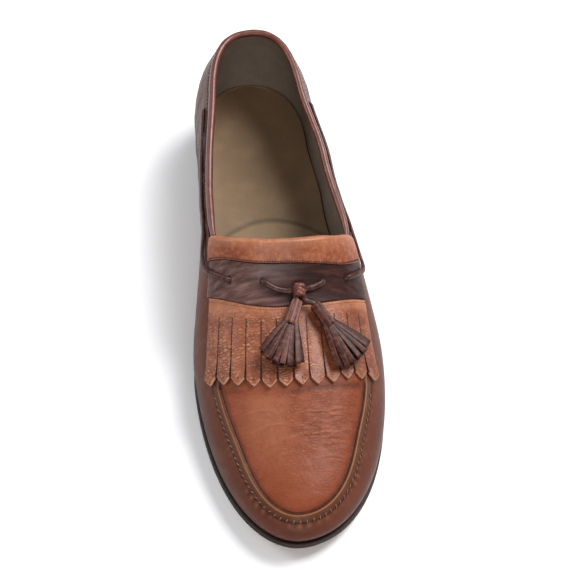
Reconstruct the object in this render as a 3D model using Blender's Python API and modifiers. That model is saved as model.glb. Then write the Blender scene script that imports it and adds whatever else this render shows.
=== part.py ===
"""Kiltie loafer, left shoe: a moccasin-seamed slip-on with a fringed flap, a saddle strap and two tassels.

Metres, +Z up. The toe points to -Y and the medial side is at -X. The shoe stands on z = 0.
"""
import bpy
import bmesh
import numpy as np
from mathutils import Vector

# Driving sizes of the last
LENGTH = 0.3005            # upper from toe to heel, along the feather line where it meets the sole
BALL_MEDIAL = 0.0482       # feather line to the axis at the ball, medial side
BALL_LATERAL = 0.0529
WAIST_MEDIAL = 0.0339
WAIST_LATERAL = 0.0358
HEEL_HALF = 0.0321
INSTEP_HEIGHT = 0.0810     # crest of the vamp at the throat
SIDE_HEIGHT = 0.0700       # topline where the throat begins
LATERAL_DROP = 0.0042      # the lateral topline starts this much lower
BACK_HEIGHT = 0.0858       # topline at the back of the heel
TOE_SHIFT = -0.0042        # the toe leans to the medial side
TOE_ROUND = 2.00           # power of the toe's outline: 2 is an ellipse
HEEL_ROUND = 2.3
BULGE = 0.0065             # how far the walls swell past the feather line

# Sole and heel
SOLE_THICK = 0.0045
SOLE_EDGE = 0.0018         # the sole stands out past the upper
EDGE_ROUND = 0.0007
TOE_SPRING = 0.0090
HEEL_HEIGHT = 0.0200
LIFT_THICK = 0.0060
HEEL_TAPER = 0.0015
HEEL_BREAST = 0.0736       # station of the heel's front face
BREAST_CURVE = 0.0040      # hollow of that face in the middle
INSOLE_THICK = 0.0020

# Upper
WALL = 0.0018
GAP = 0.0003               # clearance between pieces that touch
THROAT = 0.0115            # station of the throat's edge, from the middle of the length
BOW = 0.0140               # the throat and the bands bow forward on the crest by this much
SKEW = 0.0030              # and run further back on the medial side
SEAM_HEIGHT = 0.0012       # raised moccasin seam
SEAM_WIDTH = 0.0055
BINDING = 0.0046           # diameter of the rolled collar binding

# Bands and fringed flap across the instep, each given by the stations where it ends
TONGUE_FRONT = 0.0043
TONGUE_THICK = 0.0015
TONGUE_TUCK = 0.0060       # how far the folded band reaches down inside
SADDLE_THICK = 0.0010
KILTIE_BACK = -0.0134
KILTIE_FRONT = -0.0589
KILTIE_THICK = 0.0013
SLIT_BACK = -0.0212        # where the slits between the tabs begin
SLIT_WIDTH = 0.0007
TAB_COUNT = 12
TAB_POINT = 0.0032         # how far a tab's middle reaches past its corners
TAB_LIFT = 0.0010          # the tips curl up by this much

# Lace, its knot and its tassels
LACE = 0.0032              # diameter
LACE_FLAT = 0.0014         # along the quarters it lies flat, this thick
LACE_DROP = 0.0098         # the side run lies this far below the topline
REAR_SLOT = 0.0995         # station where the side run goes in
KNOT_WIDTH = 0.0072
KNOT_LENGTH = 0.0080
KNOT_THICK = 0.0064
CAP_LENGTH = 0.0135        # rolled top of a tassel
CAP_RADIUS = 0.0036
STRIP_LENGTH = 0.0245
STRIP_WIDTH = 0.0030
STRIP_THICK = 0.0010
TASSEL_RISE = 0.0012       # a tassel's strips rise by this much over the curled tabs

AXIS_X = (BALL_MEDIAL - BALL_LATERAL)/2    # puts the origin under the middle of the shoe

# Sections of the last. along: share of LENGTH from its middle, crest: share of INSTEP_HEIGHT,
# round: power of the side's curve, and the bulges are shares of BULGE.
SECTION_COLUMNS = ("along", "crest", "round", "bulge_medial", "bulge_lateral")
SECTIONS = np.array([
    (-0.500, 0.407, 2.50, 0.38, 0.38),
    (-0.350, 0.475, 2.40, 0.46, 0.46),
    (-0.200, 0.616, 2.30, 0.54, 0.54),
    (-0.067, 0.765, 2.45, 0.74, 0.57),
    (0.050, 1.141, 2.60, 0.96, 0.60),
    (0.200, 1.210, 2.35, 0.84, 0.58),
    (0.350, 1.222, 2.10, 0.70, 0.50),
    (0.500, 1.235, 2.10, 0.44, 0.50),
])

# Rise of the topline. back: share of the way from the throat to the heel, rise: share of the whole rise.
TOPLINE = np.array([
    (0.00, 0.00),
    (0.25, 0.12),
    (0.50, 0.47),
    (0.75, 0.80),
    (1.00, 1.00),
])

# Place of the moccasin seam. along: share of LENGTH, turn: share of the way from the feather line up.
SEAM = np.array([
    (-0.500, 0.505),
    (-0.350, 0.545),
    (-0.200, 0.505),
    (0.000, 0.450),
])

# Side edges of the bands and the flap, as arcs from the crest. along: share of LENGTH, the arcs: shares of
# the ball's half width on their side.
FLAP_EDGE_COLUMNS = ("along", "medial", "lateral")
FLAP_EDGE = np.array([
    (-0.196, 1.01, 1.05),
    (-0.110, 0.94, 1.04),
    (-0.044, 0.87, 1.03),
    (0.015, 0.84, 1.00),
    (0.060, 0.89, 0.95),
])

# Places on the vamp as (station, arc from the crest), the lateral side positive
KNOT_AT = (-0.0078, 0.0106)
SLOTS_INNER = {"medial": (-0.0024, -0.0084), "lateral": (-0.0051, 0.0251)}
SLOTS_OUTER = {"medial": (-0.0039, -0.0264), "lateral": (-0.0047, 0.0389)}
LACE_OVER_EDGE = {
    "medial": [(0.0004, -0.0410), (0.0080, -0.0480)],
    "lateral": [(0.0006, 0.0545), (0.0080, 0.0580)],
}
TASSEL_TOP = {"medial": (-0.0145, 0.0088), "lateral": (-0.0176, 0.0184)}
TASSEL_TOWARDS = {"medial": (-0.0434, -0.0026), "lateral": (-0.0487, 0.0353)}

# Strips of a tassel as (angle from its axis, layer), the upper layer first
TASSEL_STRIPS = [
    (-0.42, 1), (-0.21, 1), (0.0, 1), (0.21, 1), (0.42, 1),
    (-0.32, -1), (-0.1, -1), (0.12, -1), (0.33, -1),
]

PARTS = bpy.data.collections.new("kiltie_loafer")
CUTTERS = bpy.data.collections.new("cutters")


def clear_scene():
    for obj in list(bpy.data.objects):
        bpy.data.objects.remove(obj, do_unlink=True)
    bpy.context.scene.collection.children.link(PARTS)
    bpy.context.scene.collection.children.link(CUTTERS)


def ease(u):
    """0 to 1 with level ends."""
    u = np.clip(u, 0, 1)
    return u*u*(3 - 2*u)


def through(xs, ys, x):
    """A smooth curve through a table's points: a cubic on each span."""
    slopes = np.gradient(ys, xs)
    x = np.asarray(x, float)
    k = np.clip(np.searchsorted(xs, x) - 1, 0, len(xs) - 2)
    span = xs[k + 1] - xs[k]
    t = (x - xs[k])/span
    ends = ys[k]*(1 + 2*t)*(1 - t)**2 + ys[k + 1]*t*t*(3 - 2*t)
    return ends + span*(slopes[k]*t*(1 - t)**2 + slopes[k + 1]*t*t*(t - 1))


def section(name, y):
    return through(SECTIONS[:, 0]*LENGTH, SECTIONS[:, SECTION_COLUMNS.index(name)], y)


def half_width(y, side):
    """Feather line to the axis at y: a rounded toe, the ball, the waist and a rounded heel."""
    y = np.asarray(y, float)
    ball, waist = (BALL_MEDIAL, WAIST_MEDIAL) if side < 0 else (BALL_LATERAL, WAIST_LATERAL)
    y_ball, y_waist = (-0.149*LENGTH, 0.133*LENGTH) if side < 0 else (-0.132*LENGTH, 0.206*LENGTH)
    y_heel = 0.346*LENGTH
    u = np.clip((y_ball - y)/(y_ball + LENGTH/2), 0, 1)
    toe = TOE_SHIFT*side + (ball - TOE_SHIFT*side)*(1 - u**TOE_ROUND)**(1/TOE_ROUND)
    shank = ball + (waist - ball)*ease((y - y_ball)/(y_waist - y_ball))
    seat = waist + (HEEL_HALF - waist)*ease((y - y_waist)/(y_heel - y_waist))
    v = np.clip((y - y_heel)/(LENGTH/2 - y_heel), 0, 1)
    cap = HEEL_HALF*(1 - v**HEEL_ROUND)**(1/HEEL_ROUND)
    return np.where(y < y_ball, toe, np.where(y < y_waist, shank, np.where(y < y_heel, seat, cap)))


def outward(y, side):
    """Plan direction square to the feather line."""
    step = 0.0005
    slope = (half_width(y + step, side) - half_width(y - step, side))/(2*step)
    size = np.hypot(1, slope)
    return side/size, -slope/size


def sole_top(y):
    """Upper face of the outsole: toe spring, level tread, arch and level heel seat."""
    spring = np.clip((-0.266*LENGTH - y)/(0.234*LENGTH), 0, 1)
    return SOLE_THICK + TOE_SPRING*spring**2 + HEEL_HEIGHT*ease((y + 0.117*LENGTH)/(0.356*LENGTH))


def crest_x(y):
    return np.interp(y, np.array([-0.5, -0.2, 0, 0.2, 0.5])*LENGTH, [TOE_SHIFT, -0.0030, -0.0025, -0.0015, 0])


def last_side(s, side, turn):
    """Point of the last at station s: turn is 0 at the feather line and pi/2 on the crest.

    Each section is a superellipse from the feather line to the crest, swollen outwards in the middle. Near
    the toe and heel the sections fan round, and near the throat they bow forward.
    """
    fan = 0.140*LENGTH*(1 - np.clip((s + LENGTH/2)/(0.3*LENGTH), 0, 1))**2
    fan = fan - 0.087*LENGTH*np.clip((s - 0.346*LENGTH)/(0.154*LENGTH), 0, 1)**2
    near = ease((s + 0.35*LENGTH)/(0.15*LENGTH))*(1 - ease((s - THROAT - 0.025*LENGTH)/(0.2*LENGTH)))
    start = s - side*SKEW*near
    power = 2/section("round", s)
    rise = np.abs(np.sin(turn))**power
    reach = 1 - np.abs(np.cos(turn))**power
    top = s + fan - BOW*near
    y = start + fan*reach + (s - BOW*near - start)*(1 - (1 - reach)**2)
    x = side*half_width(start, side)
    x = x + (crest_x(top) - x)*reach
    foot = sole_top(start) + GAP
    z = foot + (section("crest", y)*INSTEP_HEIGHT - foot)*rise
    swell = section("bulge_medial" if side < 0 else "bulge_lateral", s)*BULGE
    swell = swell*np.sin(np.pi*np.clip(rise/0.95, 0, 1))
    nx, ny = outward(start, side)
    return np.stack([x + nx*swell + AXIS_X, y + ny*swell, z], -1)


def last(s, p):
    """Point of the last: p is -1 on the medial feather line, 0 on the crest and 1 on the lateral one."""
    s, p = np.broadcast_arrays(np.asarray(s, float), np.asarray(p, float))
    turn = (1 - np.abs(p))*np.pi/2
    return np.where((p < 0)[..., None], last_side(s, -1, turn), last_side(s, 1, turn))


def normal(s, p):
    """Unit vector out of the last at (s, p)."""
    ds, dp = 0.0004, 0.002
    s = np.clip(s, ds - LENGTH/2, LENGTH/2 - ds)
    along = last(s + ds, p) - last(s - ds, p)
    across = last(s, np.minimum(p + dp, 1)) - last(s, np.maximum(p - dp, -1))
    n = np.cross(across, along)
    return n/np.linalg.norm(n, axis=-1, keepdims=True)


def skin(s, p, h):
    """Point at height h over the last's surface."""
    s, p, h = np.broadcast_arrays(np.asarray(s, float), np.asarray(p, float), np.asarray(h, float))
    return last(s, p) + normal(s, p)*h[..., None]


def p_at_arc(s, arc):
    """Turn an arc from the crest, the lateral side positive, into p at the same station."""
    p = np.linspace(-1, 1, 241)
    s, arc = np.broadcast_arrays(np.asarray(s, float), np.asarray(arc, float))
    found = np.empty(s.shape)
    for where in np.unique(s):
        line = last(np.full(p.shape, where), p)
        run = np.concatenate([[0], np.cumsum(np.linalg.norm(np.diff(line, axis=0), axis=1))])
        here = s == where
        found[here] = np.interp(arc[here], run - run[120], p)
    return found


def vamp(s, arc, h):
    """Point over the vamp at station s, an arc from the crest and height h."""
    return skin(s, p_at_arc(s, arc), h)


def topline(s, side):
    """Height of the collar's top."""
    start = SIDE_HEIGHT if side < 0 else SIDE_HEIGHT - LATERAL_DROP
    back = np.clip((np.asarray(s) - THROAT)/(LENGTH/2 - THROAT), 0, 1)
    return start + (BACK_HEIGHT - start)*through(TOPLINE[:, 0], TOPLINE[:, 1], back)


def p_at_height(s, side, z):
    """p where the section at s reaches height z, by halving."""
    low, high = np.full(np.shape(s), 1.0), np.zeros(np.shape(s))
    for _ in range(30):
        mid = (low + high)/2
        under = last(s, side*mid)[..., 2] < z
        low, high = np.where(under, mid, low), np.where(under, high, mid)
    return (low + high)/2


def wall_edge(s, side):
    """p of the wall's edge: the topline behind the throat, the moccasin seam in front of it."""
    top = p_at_height(np.maximum(s, THROAT), side, topline(s, side) - BINDING - GAP)
    seam = 1 - through(SEAM[:, 0]*LENGTH, SEAM[:, 1], np.minimum(s, 0))
    return seam + (top - seam)*ease((s + 0.17*LENGTH)/(THROAT + 0.17*LENGTH))


def flap_edge(s, side):
    """Arc from the crest to the side edge of the bands and the flap."""
    ball = BALL_MEDIAL if side < 0 else BALL_LATERAL
    column = FLAP_EDGE_COLUMNS.index("medial" if side < 0 else "lateral")
    return side*ball*through(FLAP_EDGE[:, 0]*LENGTH, FLAP_EDGE[:, column], s)


def material(name, colour, roughness, metallic=0.0):
    mat = bpy.data.materials.new(name)
    mat.use_nodes = True
    shader = mat.node_tree.nodes["Principled BSDF"]
    shader.inputs["Base Color"].default_value = (*colour, 1)
    shader.inputs["Roughness"].default_value = roughness
    shader.inputs["Metallic"].default_value = metallic
    return mat


def add_mesh(name, points, faces, mat, collection=PARTS):
    """A mesh object whose doubled points are merged and whose faces are shaded smooth."""
    mesh = bpy.data.meshes.new(name)
    mesh.from_pydata([tuple(point) for point in points], [], faces)
    work = bmesh.new()
    work.from_mesh(mesh)
    bmesh.ops.remove_doubles(work, verts=work.verts, dist=0.00002)
    loose = [vert for vert in work.verts if not vert.link_faces]
    bmesh.ops.delete(work, geom=loose, context="VERTS")
    work.to_mesh(mesh)
    work.free()
    mesh.materials.append(mat)
    mesh.shade_smooth()
    mesh.set_sharp_from_angle(angle=np.radians(40))
    obj = bpy.data.objects.new(name, mesh)
    collection.objects.link(obj)
    return obj


def grid_faces(rows, columns, keep=None):
    """Quads of a grid of points, row by row; keep says which cells are there."""
    faces = []
    for i in range(rows - 1):
        for j in range(columns - 1):
            if keep is None or keep[i, j]:
                corner = i*columns + j
                faces.append((corner, corner + 1, corner + columns + 1, corner + columns))
    return faces


def solidify(obj, thickness, offset):
    mod = obj.modifiers.new("thickness", "SOLIDIFY")
    mod.thickness = thickness
    mod.offset = offset
    mod.use_quality_normals = True


def stations(start, end, count, ease_start, ease_end):
    """Stations from start to end, closer together at an eased end."""
    u = np.linspace(0, 1, count)
    if ease_start and ease_end:
        u = (1 - np.cos(np.pi*u))/2
    elif ease_start:
        u = 1 - np.cos(np.pi/2*u)
    elif ease_end:
        u = np.sin(np.pi/2*u)
    return start + (end - start)*u


FRONT = stations(-LENGTH/2, THROAT, 25, True, True)
BACK = stations(THROAT, LENGTH/2, 15, False, True)


def make_upper(mat):
    """The hollow shell: walls from the feather line to their edge, and the vamp between them in front."""
    s = np.concatenate([FRONT, BACK[1:]])
    wall = []
    for side in (-1, 1):
        edge = wall_edge(s, side)
        step = 0.01
        pace = np.linalg.norm(last(s, side*(edge + step)) - last(s, side*edge), axis=1)/step
        seam = edge + SEAM_WIDTH/pace
        fade = 1 - ease((s - KILTIE_FRONT + 0.004)/0.008)
        low = [1 + (seam - 1)*share for share in (0, 0.33, 0.7)]
        rows = low + [seam, edge + 0.6*SEAM_WIDTH/pace, edge + 0.2*SEAM_WIDTH/pace, edge]
        raised = [0, 0, 0, 0, 1, 1, 0]
        heights = [SEAM_HEIGHT*up*fade for up in raised]
        wall.append((side*np.array(rows), np.array(heights), edge))
    (medial, medial_heights, medial_edge), (lateral, lateral_heights, lateral_edge) = wall
    lateral = lateral[::-1]
    shares = np.arange(1, 6)[:, None]/6
    crown = np.concatenate([-shares[::-1]*medial_edge, 0*s[None, :], shares*lateral_edge])
    p = np.concatenate([medial, crown, lateral])
    h = np.concatenate([medial_heights, np.zeros(crown.shape), lateral_heights[::-1]])
    points = skin(s[None, :], p, h)
    for end in (0, -1):
        pair = (points[:, end] + points[::-1, end])/2
        points[:, end] = pair
    points = np.swapaxes(points, 0, 1)
    rows, columns = points.shape[:2]
    keep = np.ones((rows - 1, columns - 1), bool)
    keep[len(FRONT) - 1:, len(medial) - 1:columns - len(lateral)] = False
    obj = add_mesh("upper", points.reshape(-1, 3), grid_faces(rows, columns, keep), mat)
    solidify(obj, WALL, -1)
    return obj


def plan_line(y, side, out):
    """Points of the feather line moved outwards by out, in plan."""
    nx, ny = outward(y, side)
    return side*half_width(y, side) + nx*out + AXIS_X, y + ny*out


def plate(name, y, layers, mat, breast=0.0):
    """A plate under the last. Each layer is (outwards shift, height at y); both ends are closed over.

    breast is how far the front edge is hollowed in the middle, on a plate that starts behind the toe.
    """
    rings = []
    for out, height in layers:
        left = np.stack(plan_line(y, -1, out), -1)
        right = np.stack(plan_line(y, 1, out), -1)
        if breast:
            left[0, 1] = right[0, 1] = y[0]
        for end in ((-1,) if breast else (0, -1)):
            middle = (left[end] + right[end])/2
            left[end] = right[end] = middle
        columns = [left]
        for share in (0.25, 0.5, 0.75):
            columns.append(left + (right - left)*share)
        columns.append(right)
        if breast:
            for column, share in zip(columns, (0, 0.75, 1, 0.75, 0)):
                column[0, 1] += breast*share
        grid = np.stack(columns, 1)
        rings.append(np.concatenate([grid, height(grid[..., 1])[..., None]], -1))
    count, across = len(y), 5
    size = count*across
    points = np.concatenate([ring.reshape(-1, 3) for ring in rings])
    faces = [face[::-1] for face in grid_faces(count, across)]
    top = (len(rings) - 1)*size
    faces += [tuple(top + k for k in face) for face in grid_faces(count, across)]
    loop = [i*across for i in range(count)]
    loop += [(count - 1)*across + j for j in range(1, across)]
    loop += [i*across + across - 1 for i in range(count - 2, -1, -1)]
    loop += list(range(across - 2, 0, -1))
    for level in range(len(rings) - 1):
        base = level*size
        for a, b in zip(loop, loop[1:] + loop[:1]):
            faces.append((base + b, base + a, base + size + a, base + size + b))
    return add_mesh(name, points, faces, mat)


def over_sole(rise):
    """A layer's height: this far over the upper face of the outsole."""
    return lambda y: sole_top(y) + rise


def level(z):
    return lambda y: np.full(np.shape(y), z)


def make_sole(leather, rubber, lining):
    y = np.concatenate([FRONT, BACK[1:]])
    plate("outsole", y, [
        (SOLE_EDGE - EDGE_ROUND, over_sole(-SOLE_THICK)),
        (SOLE_EDGE, over_sole(EDGE_ROUND - SOLE_THICK)),
        (SOLE_EDGE, over_sole(-EDGE_ROUND)),
        (SOLE_EDGE - EDGE_ROUND, over_sole(0)),
    ], leather)
    heel = stations(HEEL_BREAST, LENGTH/2, 15, False, True)
    plate("heel_stack", heel, [
        (SOLE_EDGE - 0.7*HEEL_TAPER, level(LIFT_THICK + GAP)),
        (SOLE_EDGE - EDGE_ROUND, level(HEEL_HEIGHT - GAP)),
    ], leather, BREAST_CURVE)
    plate("heel_lift", heel, [
        (SOLE_EDGE - HEEL_TAPER, level(0)),
        (SOLE_EDGE - 0.75*HEEL_TAPER, level(LIFT_THICK)),
    ], rubber, BREAST_CURVE)
    inset = -WALL - 2*GAP
    plate("insole", y[1:-1], [(inset, over_sole(GAP)), (inset, over_sole(GAP + INSOLE_THICK))], lining)


def sheet(name, s, arcs, h, thickness, mat, keep=None):
    """A strip laid over the vamp: points at stations s, arcs and heights h, thickened outwards."""
    points = vamp(s, arcs, h)
    obj = add_mesh(name, points.reshape(-1, 3), grid_faces(*points.shape[:2], keep), mat)
    solidify(obj, thickness, 1)
    return obj


def flap_rows(s, columns):
    """Arcs from edge to edge at each station: equal steps."""
    share = np.linspace(0, 1, columns)[None, :]
    medial, lateral = flap_edge(s, -1)[:, None], flap_edge(s, 1)[:, None]
    return medial + (lateral - medial)*share


def make_saddle(mat):
    s = np.linspace(KILTIE_BACK + GAP, TONGUE_FRONT - GAP, 5)
    arcs = flap_rows(s, 25)
    sheet("saddle_band", np.broadcast_to(s[:, None], arcs.shape), arcs, GAP, SADDLE_THICK, mat)


def make_tongue(mat):
    """The band folded over the throat's edge, from its front edge up, round the edge and down inside."""
    half = TONGUE_THICK/2
    over = GAP + half
    under = -WALL - 2*GAP - half
    radius = (over - under)/2
    turn = np.linspace(np.pi/2, -np.pi/2, 6)
    fold = THROAT + 2*GAP
    path = [(TONGUE_FRONT, over), (TONGUE_FRONT + 0.4*(THROAT - TONGUE_FRONT), over)]
    path += [(fold + 0.6*radius*np.cos(a), (over + under)/2 + radius*np.sin(a)) for a in turn]
    path += [(fold - 0.5*TONGUE_TUCK, under), (fold - TONGUE_TUCK, under)]
    path = np.array(path)
    edge_s = np.minimum(path[:, 0], THROAT)
    corner = [abs(last_arc(THROAT, side)) - 2*GAP for side in (-1, 1)]
    share = np.linspace(0, 1, 23)[None, :]
    medial = np.maximum(flap_edge(edge_s, -1), -corner[0])[:, None]
    lateral = np.minimum(flap_edge(edge_s, 1), corner[1])[:, None]
    arcs = medial + (lateral - medial)*share
    s = np.broadcast_to(path[:, :1], arcs.shape)
    h = np.broadcast_to(path[:, 1:], arcs.shape)
    points = vamp(s, arcs, h)
    obj = add_mesh("tongue_band", points.reshape(-1, 3), grid_faces(*points.shape[:2]), mat)
    solidify(obj, TONGUE_THICK, 0)


def last_arc(s, side):
    """Arc from the crest to the wall's edge at station s."""
    p = np.linspace(0, float(wall_edge(np.array([s]), side)[0]), 60)
    line = last(np.full(p.shape, s), side*p)
    return side*np.linalg.norm(np.diff(line, axis=0), axis=1).sum()


def make_kiltie(mat):
    """The flap: a plain strip at the back, then tabs between slits, each with a pointed end."""
    steps_tab = 6
    s_back = np.linspace(KILTIE_BACK - GAP, SLIT_BACK, 3)
    shares = np.linspace(0, 1, steps_tab)[1:]
    arcs, rows = [], []
    tab = np.arange(TAB_COUNT)
    half_slit = SLIT_WIDTH/2
    corner = KILTIE_FRONT + TAB_POINT
    s_edges = np.concatenate([s_back, SLIT_BACK + (corner - SLIT_BACK)*shares])
    s_middles = np.concatenate([s_back, SLIT_BACK + (KILTIE_FRONT - SLIT_BACK)*shares])
    for s_edge, s_middle in zip(s_edges, s_middles):
        medial, lateral = float(flap_edge(s_edge, -1)), float(flap_edge(s_edge, 1))
        pitch = (lateral - medial)/TAB_COUNT
        left = medial + tab*pitch + half_slit
        right = medial + (tab + 1)*pitch - half_slit
        arcs.append(np.stack([left, (left + right)/2, right], 1).ravel())
        rows.append(np.tile([s_edge, s_middle, s_edge], TAB_COUNT))
    arcs, rows = np.array(arcs), np.array(rows)
    tip = np.clip((SLIT_BACK - rows)/(SLIT_BACK - KILTIE_FRONT), 0, 1)
    h = GAP + TAB_LIFT*tip**3
    keep = np.ones((len(arcs) - 1, arcs.shape[1] - 1), bool)
    keep[len(s_back) - 1:, 2::3] = False
    points = vamp(rows, arcs, h)
    faces = [face[::-1] for face in grid_faces(*points.shape[:2], keep)]
    obj = add_mesh("kiltie", points.reshape(-1, 3), faces, mat)
    solidify(obj, KILTIE_THICK, 1)


def smooth_route(points, spacing):
    """Points every spacing along a smooth curve through the given ones."""
    points = np.array(points)
    run = np.concatenate([[0], np.cumsum(np.linalg.norm(np.diff(points, axis=0), axis=1))])
    fine = np.linspace(0, run[-1], 400)
    curve = np.stack([through(run, points[:, k], fine) for k in range(3)], -1)
    length = np.concatenate([[0], np.cumsum(np.linalg.norm(np.diff(curve, axis=0), axis=1))])
    at = np.linspace(0, length[-1], max(3, int(round(length[-1]/spacing)) + 1))
    return np.stack([np.interp(at, length, curve[:, k]) for k in range(3)], -1)


def tube(name, points, diameter, mat):
    """A round tube along the points: a poly curve with a bevel and filled caps."""
    curve = bpy.data.curves.new(name, "CURVE")
    curve.dimensions = "3D"
    curve.bevel_depth = diameter/2
    curve.bevel_resolution = 2
    curve.use_fill_caps = True
    spline = curve.splines.new("POLY")
    spline.points.add(len(points) - 1)
    for point, place in zip(spline.points, points):
        point.co = (*place, 1)
    curve.materials.append(mat)
    obj = bpy.data.objects.new(name, curve)
    PARTS.objects.link(obj)
    return obj


def make_binding(mat):
    """The rolled binding sits on the wall's edge, from one side of the throat round the heel to the other."""
    start = THROAT + TONGUE_THICK + WALL + 3*GAP
    s = stations(start, LENGTH/2, 22, False, True)
    sides = []
    for side in (-1, 1):
        p = side*wall_edge(s, side)
        edge = skin(s, p, -WALL/2)
        up = skin(s, p - side*0.02, -WALL/2) - edge
        up = up/np.linalg.norm(up, axis=1)[:, None]
        sides.append(edge + up*(BINDING/2 + 2*GAP))
    middle = (sides[0][-1] + sides[1][-1])/2
    route = np.concatenate([sides[0][:-1], [middle], sides[1][:-1][::-1]])
    tube("collar_binding", route, BINDING, mat)


def ring(centre, across, up, wide, thick, count):
    """Points of an ellipse round a centre."""
    a = np.arange(count)/count*2*np.pi
    return centre + np.outer(np.cos(a)*wide, across) + np.outer(np.sin(a)*thick, up)


def loft(name, rings, mat, collection=PARTS):
    """A closed tube through rings with the same number of points."""
    count = len(rings[0])
    points = np.concatenate(rings)
    faces = [tuple(range(count))[::-1], tuple((len(rings) - 1)*count + k for k in range(count))]
    for i in range(len(rings) - 1):
        for k in range(count):
            a, b = i*count + k, i*count + (k + 1) % count
            faces.append((a, b, b + count, a + count))
    obj = add_mesh(name, points, faces, mat, collection)
    work = bmesh.new()
    work.from_mesh(obj.data)
    bmesh.ops.recalc_face_normals(work, faces=work.faces)
    work.to_mesh(obj.data)
    work.free()
    return obj


def flat_lace(name, s, p, h, mat):
    """A flat thong laid on the last along (s, p), its middle at height h."""
    middle = skin(s, p, h)
    along = np.gradient(middle, axis=0)
    up = normal(s, p)
    beside = np.cross(up, along)
    beside = beside/np.linalg.norm(beside, axis=1)[:, None]
    rings = [ring(m, b, u, LACE/2, LACE_FLAT/2, 8) for m, b, u in zip(middle, beside, up)]
    loft(name, rings, mat)


def make_lace(mat):
    """Two short bars meet at the knot; two side runs go from the outer slots back along the quarters."""
    over_band = 2*GAP + SADDLE_THICK + LACE/2
    knot_s, knot_arc = KNOT_AT
    for side, (slot_s, slot_arc) in SLOTS_INNER.items():
        sign = -1 if side == "medial" else 1
        end = knot_arc + sign*(KNOT_WIDTH/2 + GAP)
        share = np.linspace(0, 1, 5)
        s = slot_s + (knot_s - slot_s)*np.sin(share*np.pi/2)
        arc = slot_arc + (end - slot_arc)*share
        tube("lace_bar_" + side, smooth_route(vamp(s, arc, over_band), 2.2*LACE/2), LACE, mat)
    for side, slot in SLOTS_OUTER.items():
        sign = -1 if side == "medial" else 1
        s, arc = np.array([slot] + LACE_OVER_EDGE[side]).T
        marks, share = np.arange(3.0), np.linspace(0, 2, 9)
        s, p = through(marks, s, share), p_at_arc(through(marks, s, share), through(marks, arc, share))
        back = np.linspace(THROAT + 0.009, REAR_SLOT, 14)
        s = np.concatenate([s, back])
        p = np.concatenate([p, sign*p_at_height(back, sign, topline(back, sign) - LACE_DROP)])
        over = SADDLE_THICK + GAP
        h = GAP + LACE_FLAT/2 + over*(1 - ease((s - LACE_OVER_EDGE[side][0][0])/0.014))
        flat_lace("lace_run_" + side, s, p, h, mat)


def frame_on_vamp(place, towards, h, rise=0.0):
    """Centre, direction, across and up vectors of a piece that lies on the vamp."""
    here = vamp(np.array([place[0]]), np.array([place[1]]), h)[0]
    there = vamp(np.array([towards[0]]), np.array([towards[1]]), h + rise)[0]
    n = normal(np.array([place[0]]), p_at_arc(np.array([place[0]]), np.array([place[1]])))[0]
    along = (there - here)/np.linalg.norm(there - here)
    across = np.cross(n, along)
    across = across/np.linalg.norm(across)
    return here, along, across, np.cross(along, across)


def rounded_block(name, centre, axes, size, mat):
    """A block with bevelled edges, turned to the given axes."""
    mesh = bpy.data.meshes.new(name)
    work = bmesh.new()
    bmesh.ops.create_cube(work, size=1.0)
    for vert in work.verts:
        vert.co = Vector(sum((np.array(axes[k])*vert.co[k]*size[k] for k in range(3)), np.array(centre)))
    work.to_mesh(mesh)
    work.free()
    mesh.materials.append(mat)
    obj = bpy.data.objects.new(name, mesh)
    PARTS.objects.link(obj)
    bevel = obj.modifiers.new("edges", "BEVEL")
    bevel.width = 0.3*min(size)
    bevel.segments = 2
    return obj


def make_knot(mat):
    h = 4*GAP + SADDLE_THICK + KNOT_THICK/2
    ahead = (KNOT_AT[0] - GAP, KNOT_AT[1])
    here, along, across, up = frame_on_vamp(KNOT_AT, ahead, h)
    rounded_block("lace_knot", here, (along, across, up), (KNOT_LENGTH, KNOT_WIDTH, KNOT_THICK), mat)
    foot = here + along*(KNOT_LENGTH/2 + GAP)
    beside = across*(LACE/2 + 2*GAP)
    return {"medial": (foot - beside, along), "lateral": (foot + beside, along)}


def make_tassel(side, mat):
    """A rolled cap with strips fused into it, fanned out in two layers."""
    rest = 3*GAP + KILTIE_THICK + CAP_RADIUS
    here, along, across, up = frame_on_vamp(TASSEL_TOP[side], TASSEL_TOWARDS[side], rest, TASSEL_RISE)
    profile = [(0.0, 0.70), (0.05, 0.88), (0.5, 0.93), (0.95, 1.0), (1.0, 0.94)]
    rings = [ring(here + along*CAP_LENGTH*t, across, up, CAP_RADIUS*r, CAP_RADIUS*r, 12) for t, r in profile]
    cap = loft("tassel_" + side, rings, mat)
    strips = bpy.data.collections.new("strips_" + side)
    CUTTERS.children.link(strips)
    root = here + along*(CAP_LENGTH - 0.0035)
    for number, (angle, layer) in enumerate(TASSEL_STRIPS):
        heading = along*np.cos(angle) + across*np.sin(angle)
        beside = np.cross(up, heading)
        reach = 0.0035 + STRIP_LENGTH*(1 - 0.25*angle*angle - 0.03*(number % 3))
        sections = []
        for share in (0, 0.16, 0.5, 1.0):
            spread = angle*CAP_RADIUS*1.4*(1 - share)
            drop = layer*(0.0009 + 0.0003*share)
            width = STRIP_WIDTH*(0.62 + 0.38*ease(share*1.6))
            centre = root + heading*reach*share + across*spread + up*drop
            corners = [(-0.5, -0.5), (0.5, -0.5), (0.5, 0.5), (-0.5, 0.5)]
            sections.append(np.array([centre + beside*width*a + up*STRIP_THICK*b for a, b in corners]))
        strip = loft("strip_%s_%d" % (side, number), sections, mat, strips)
        strip.hide_render = True
        strip.display_type = "WIRE"
        union = cap.modifiers.new("strip_%d" % number, "BOOLEAN")
        union.operation = "UNION"
        union.object = strip
    return here, along


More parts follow.
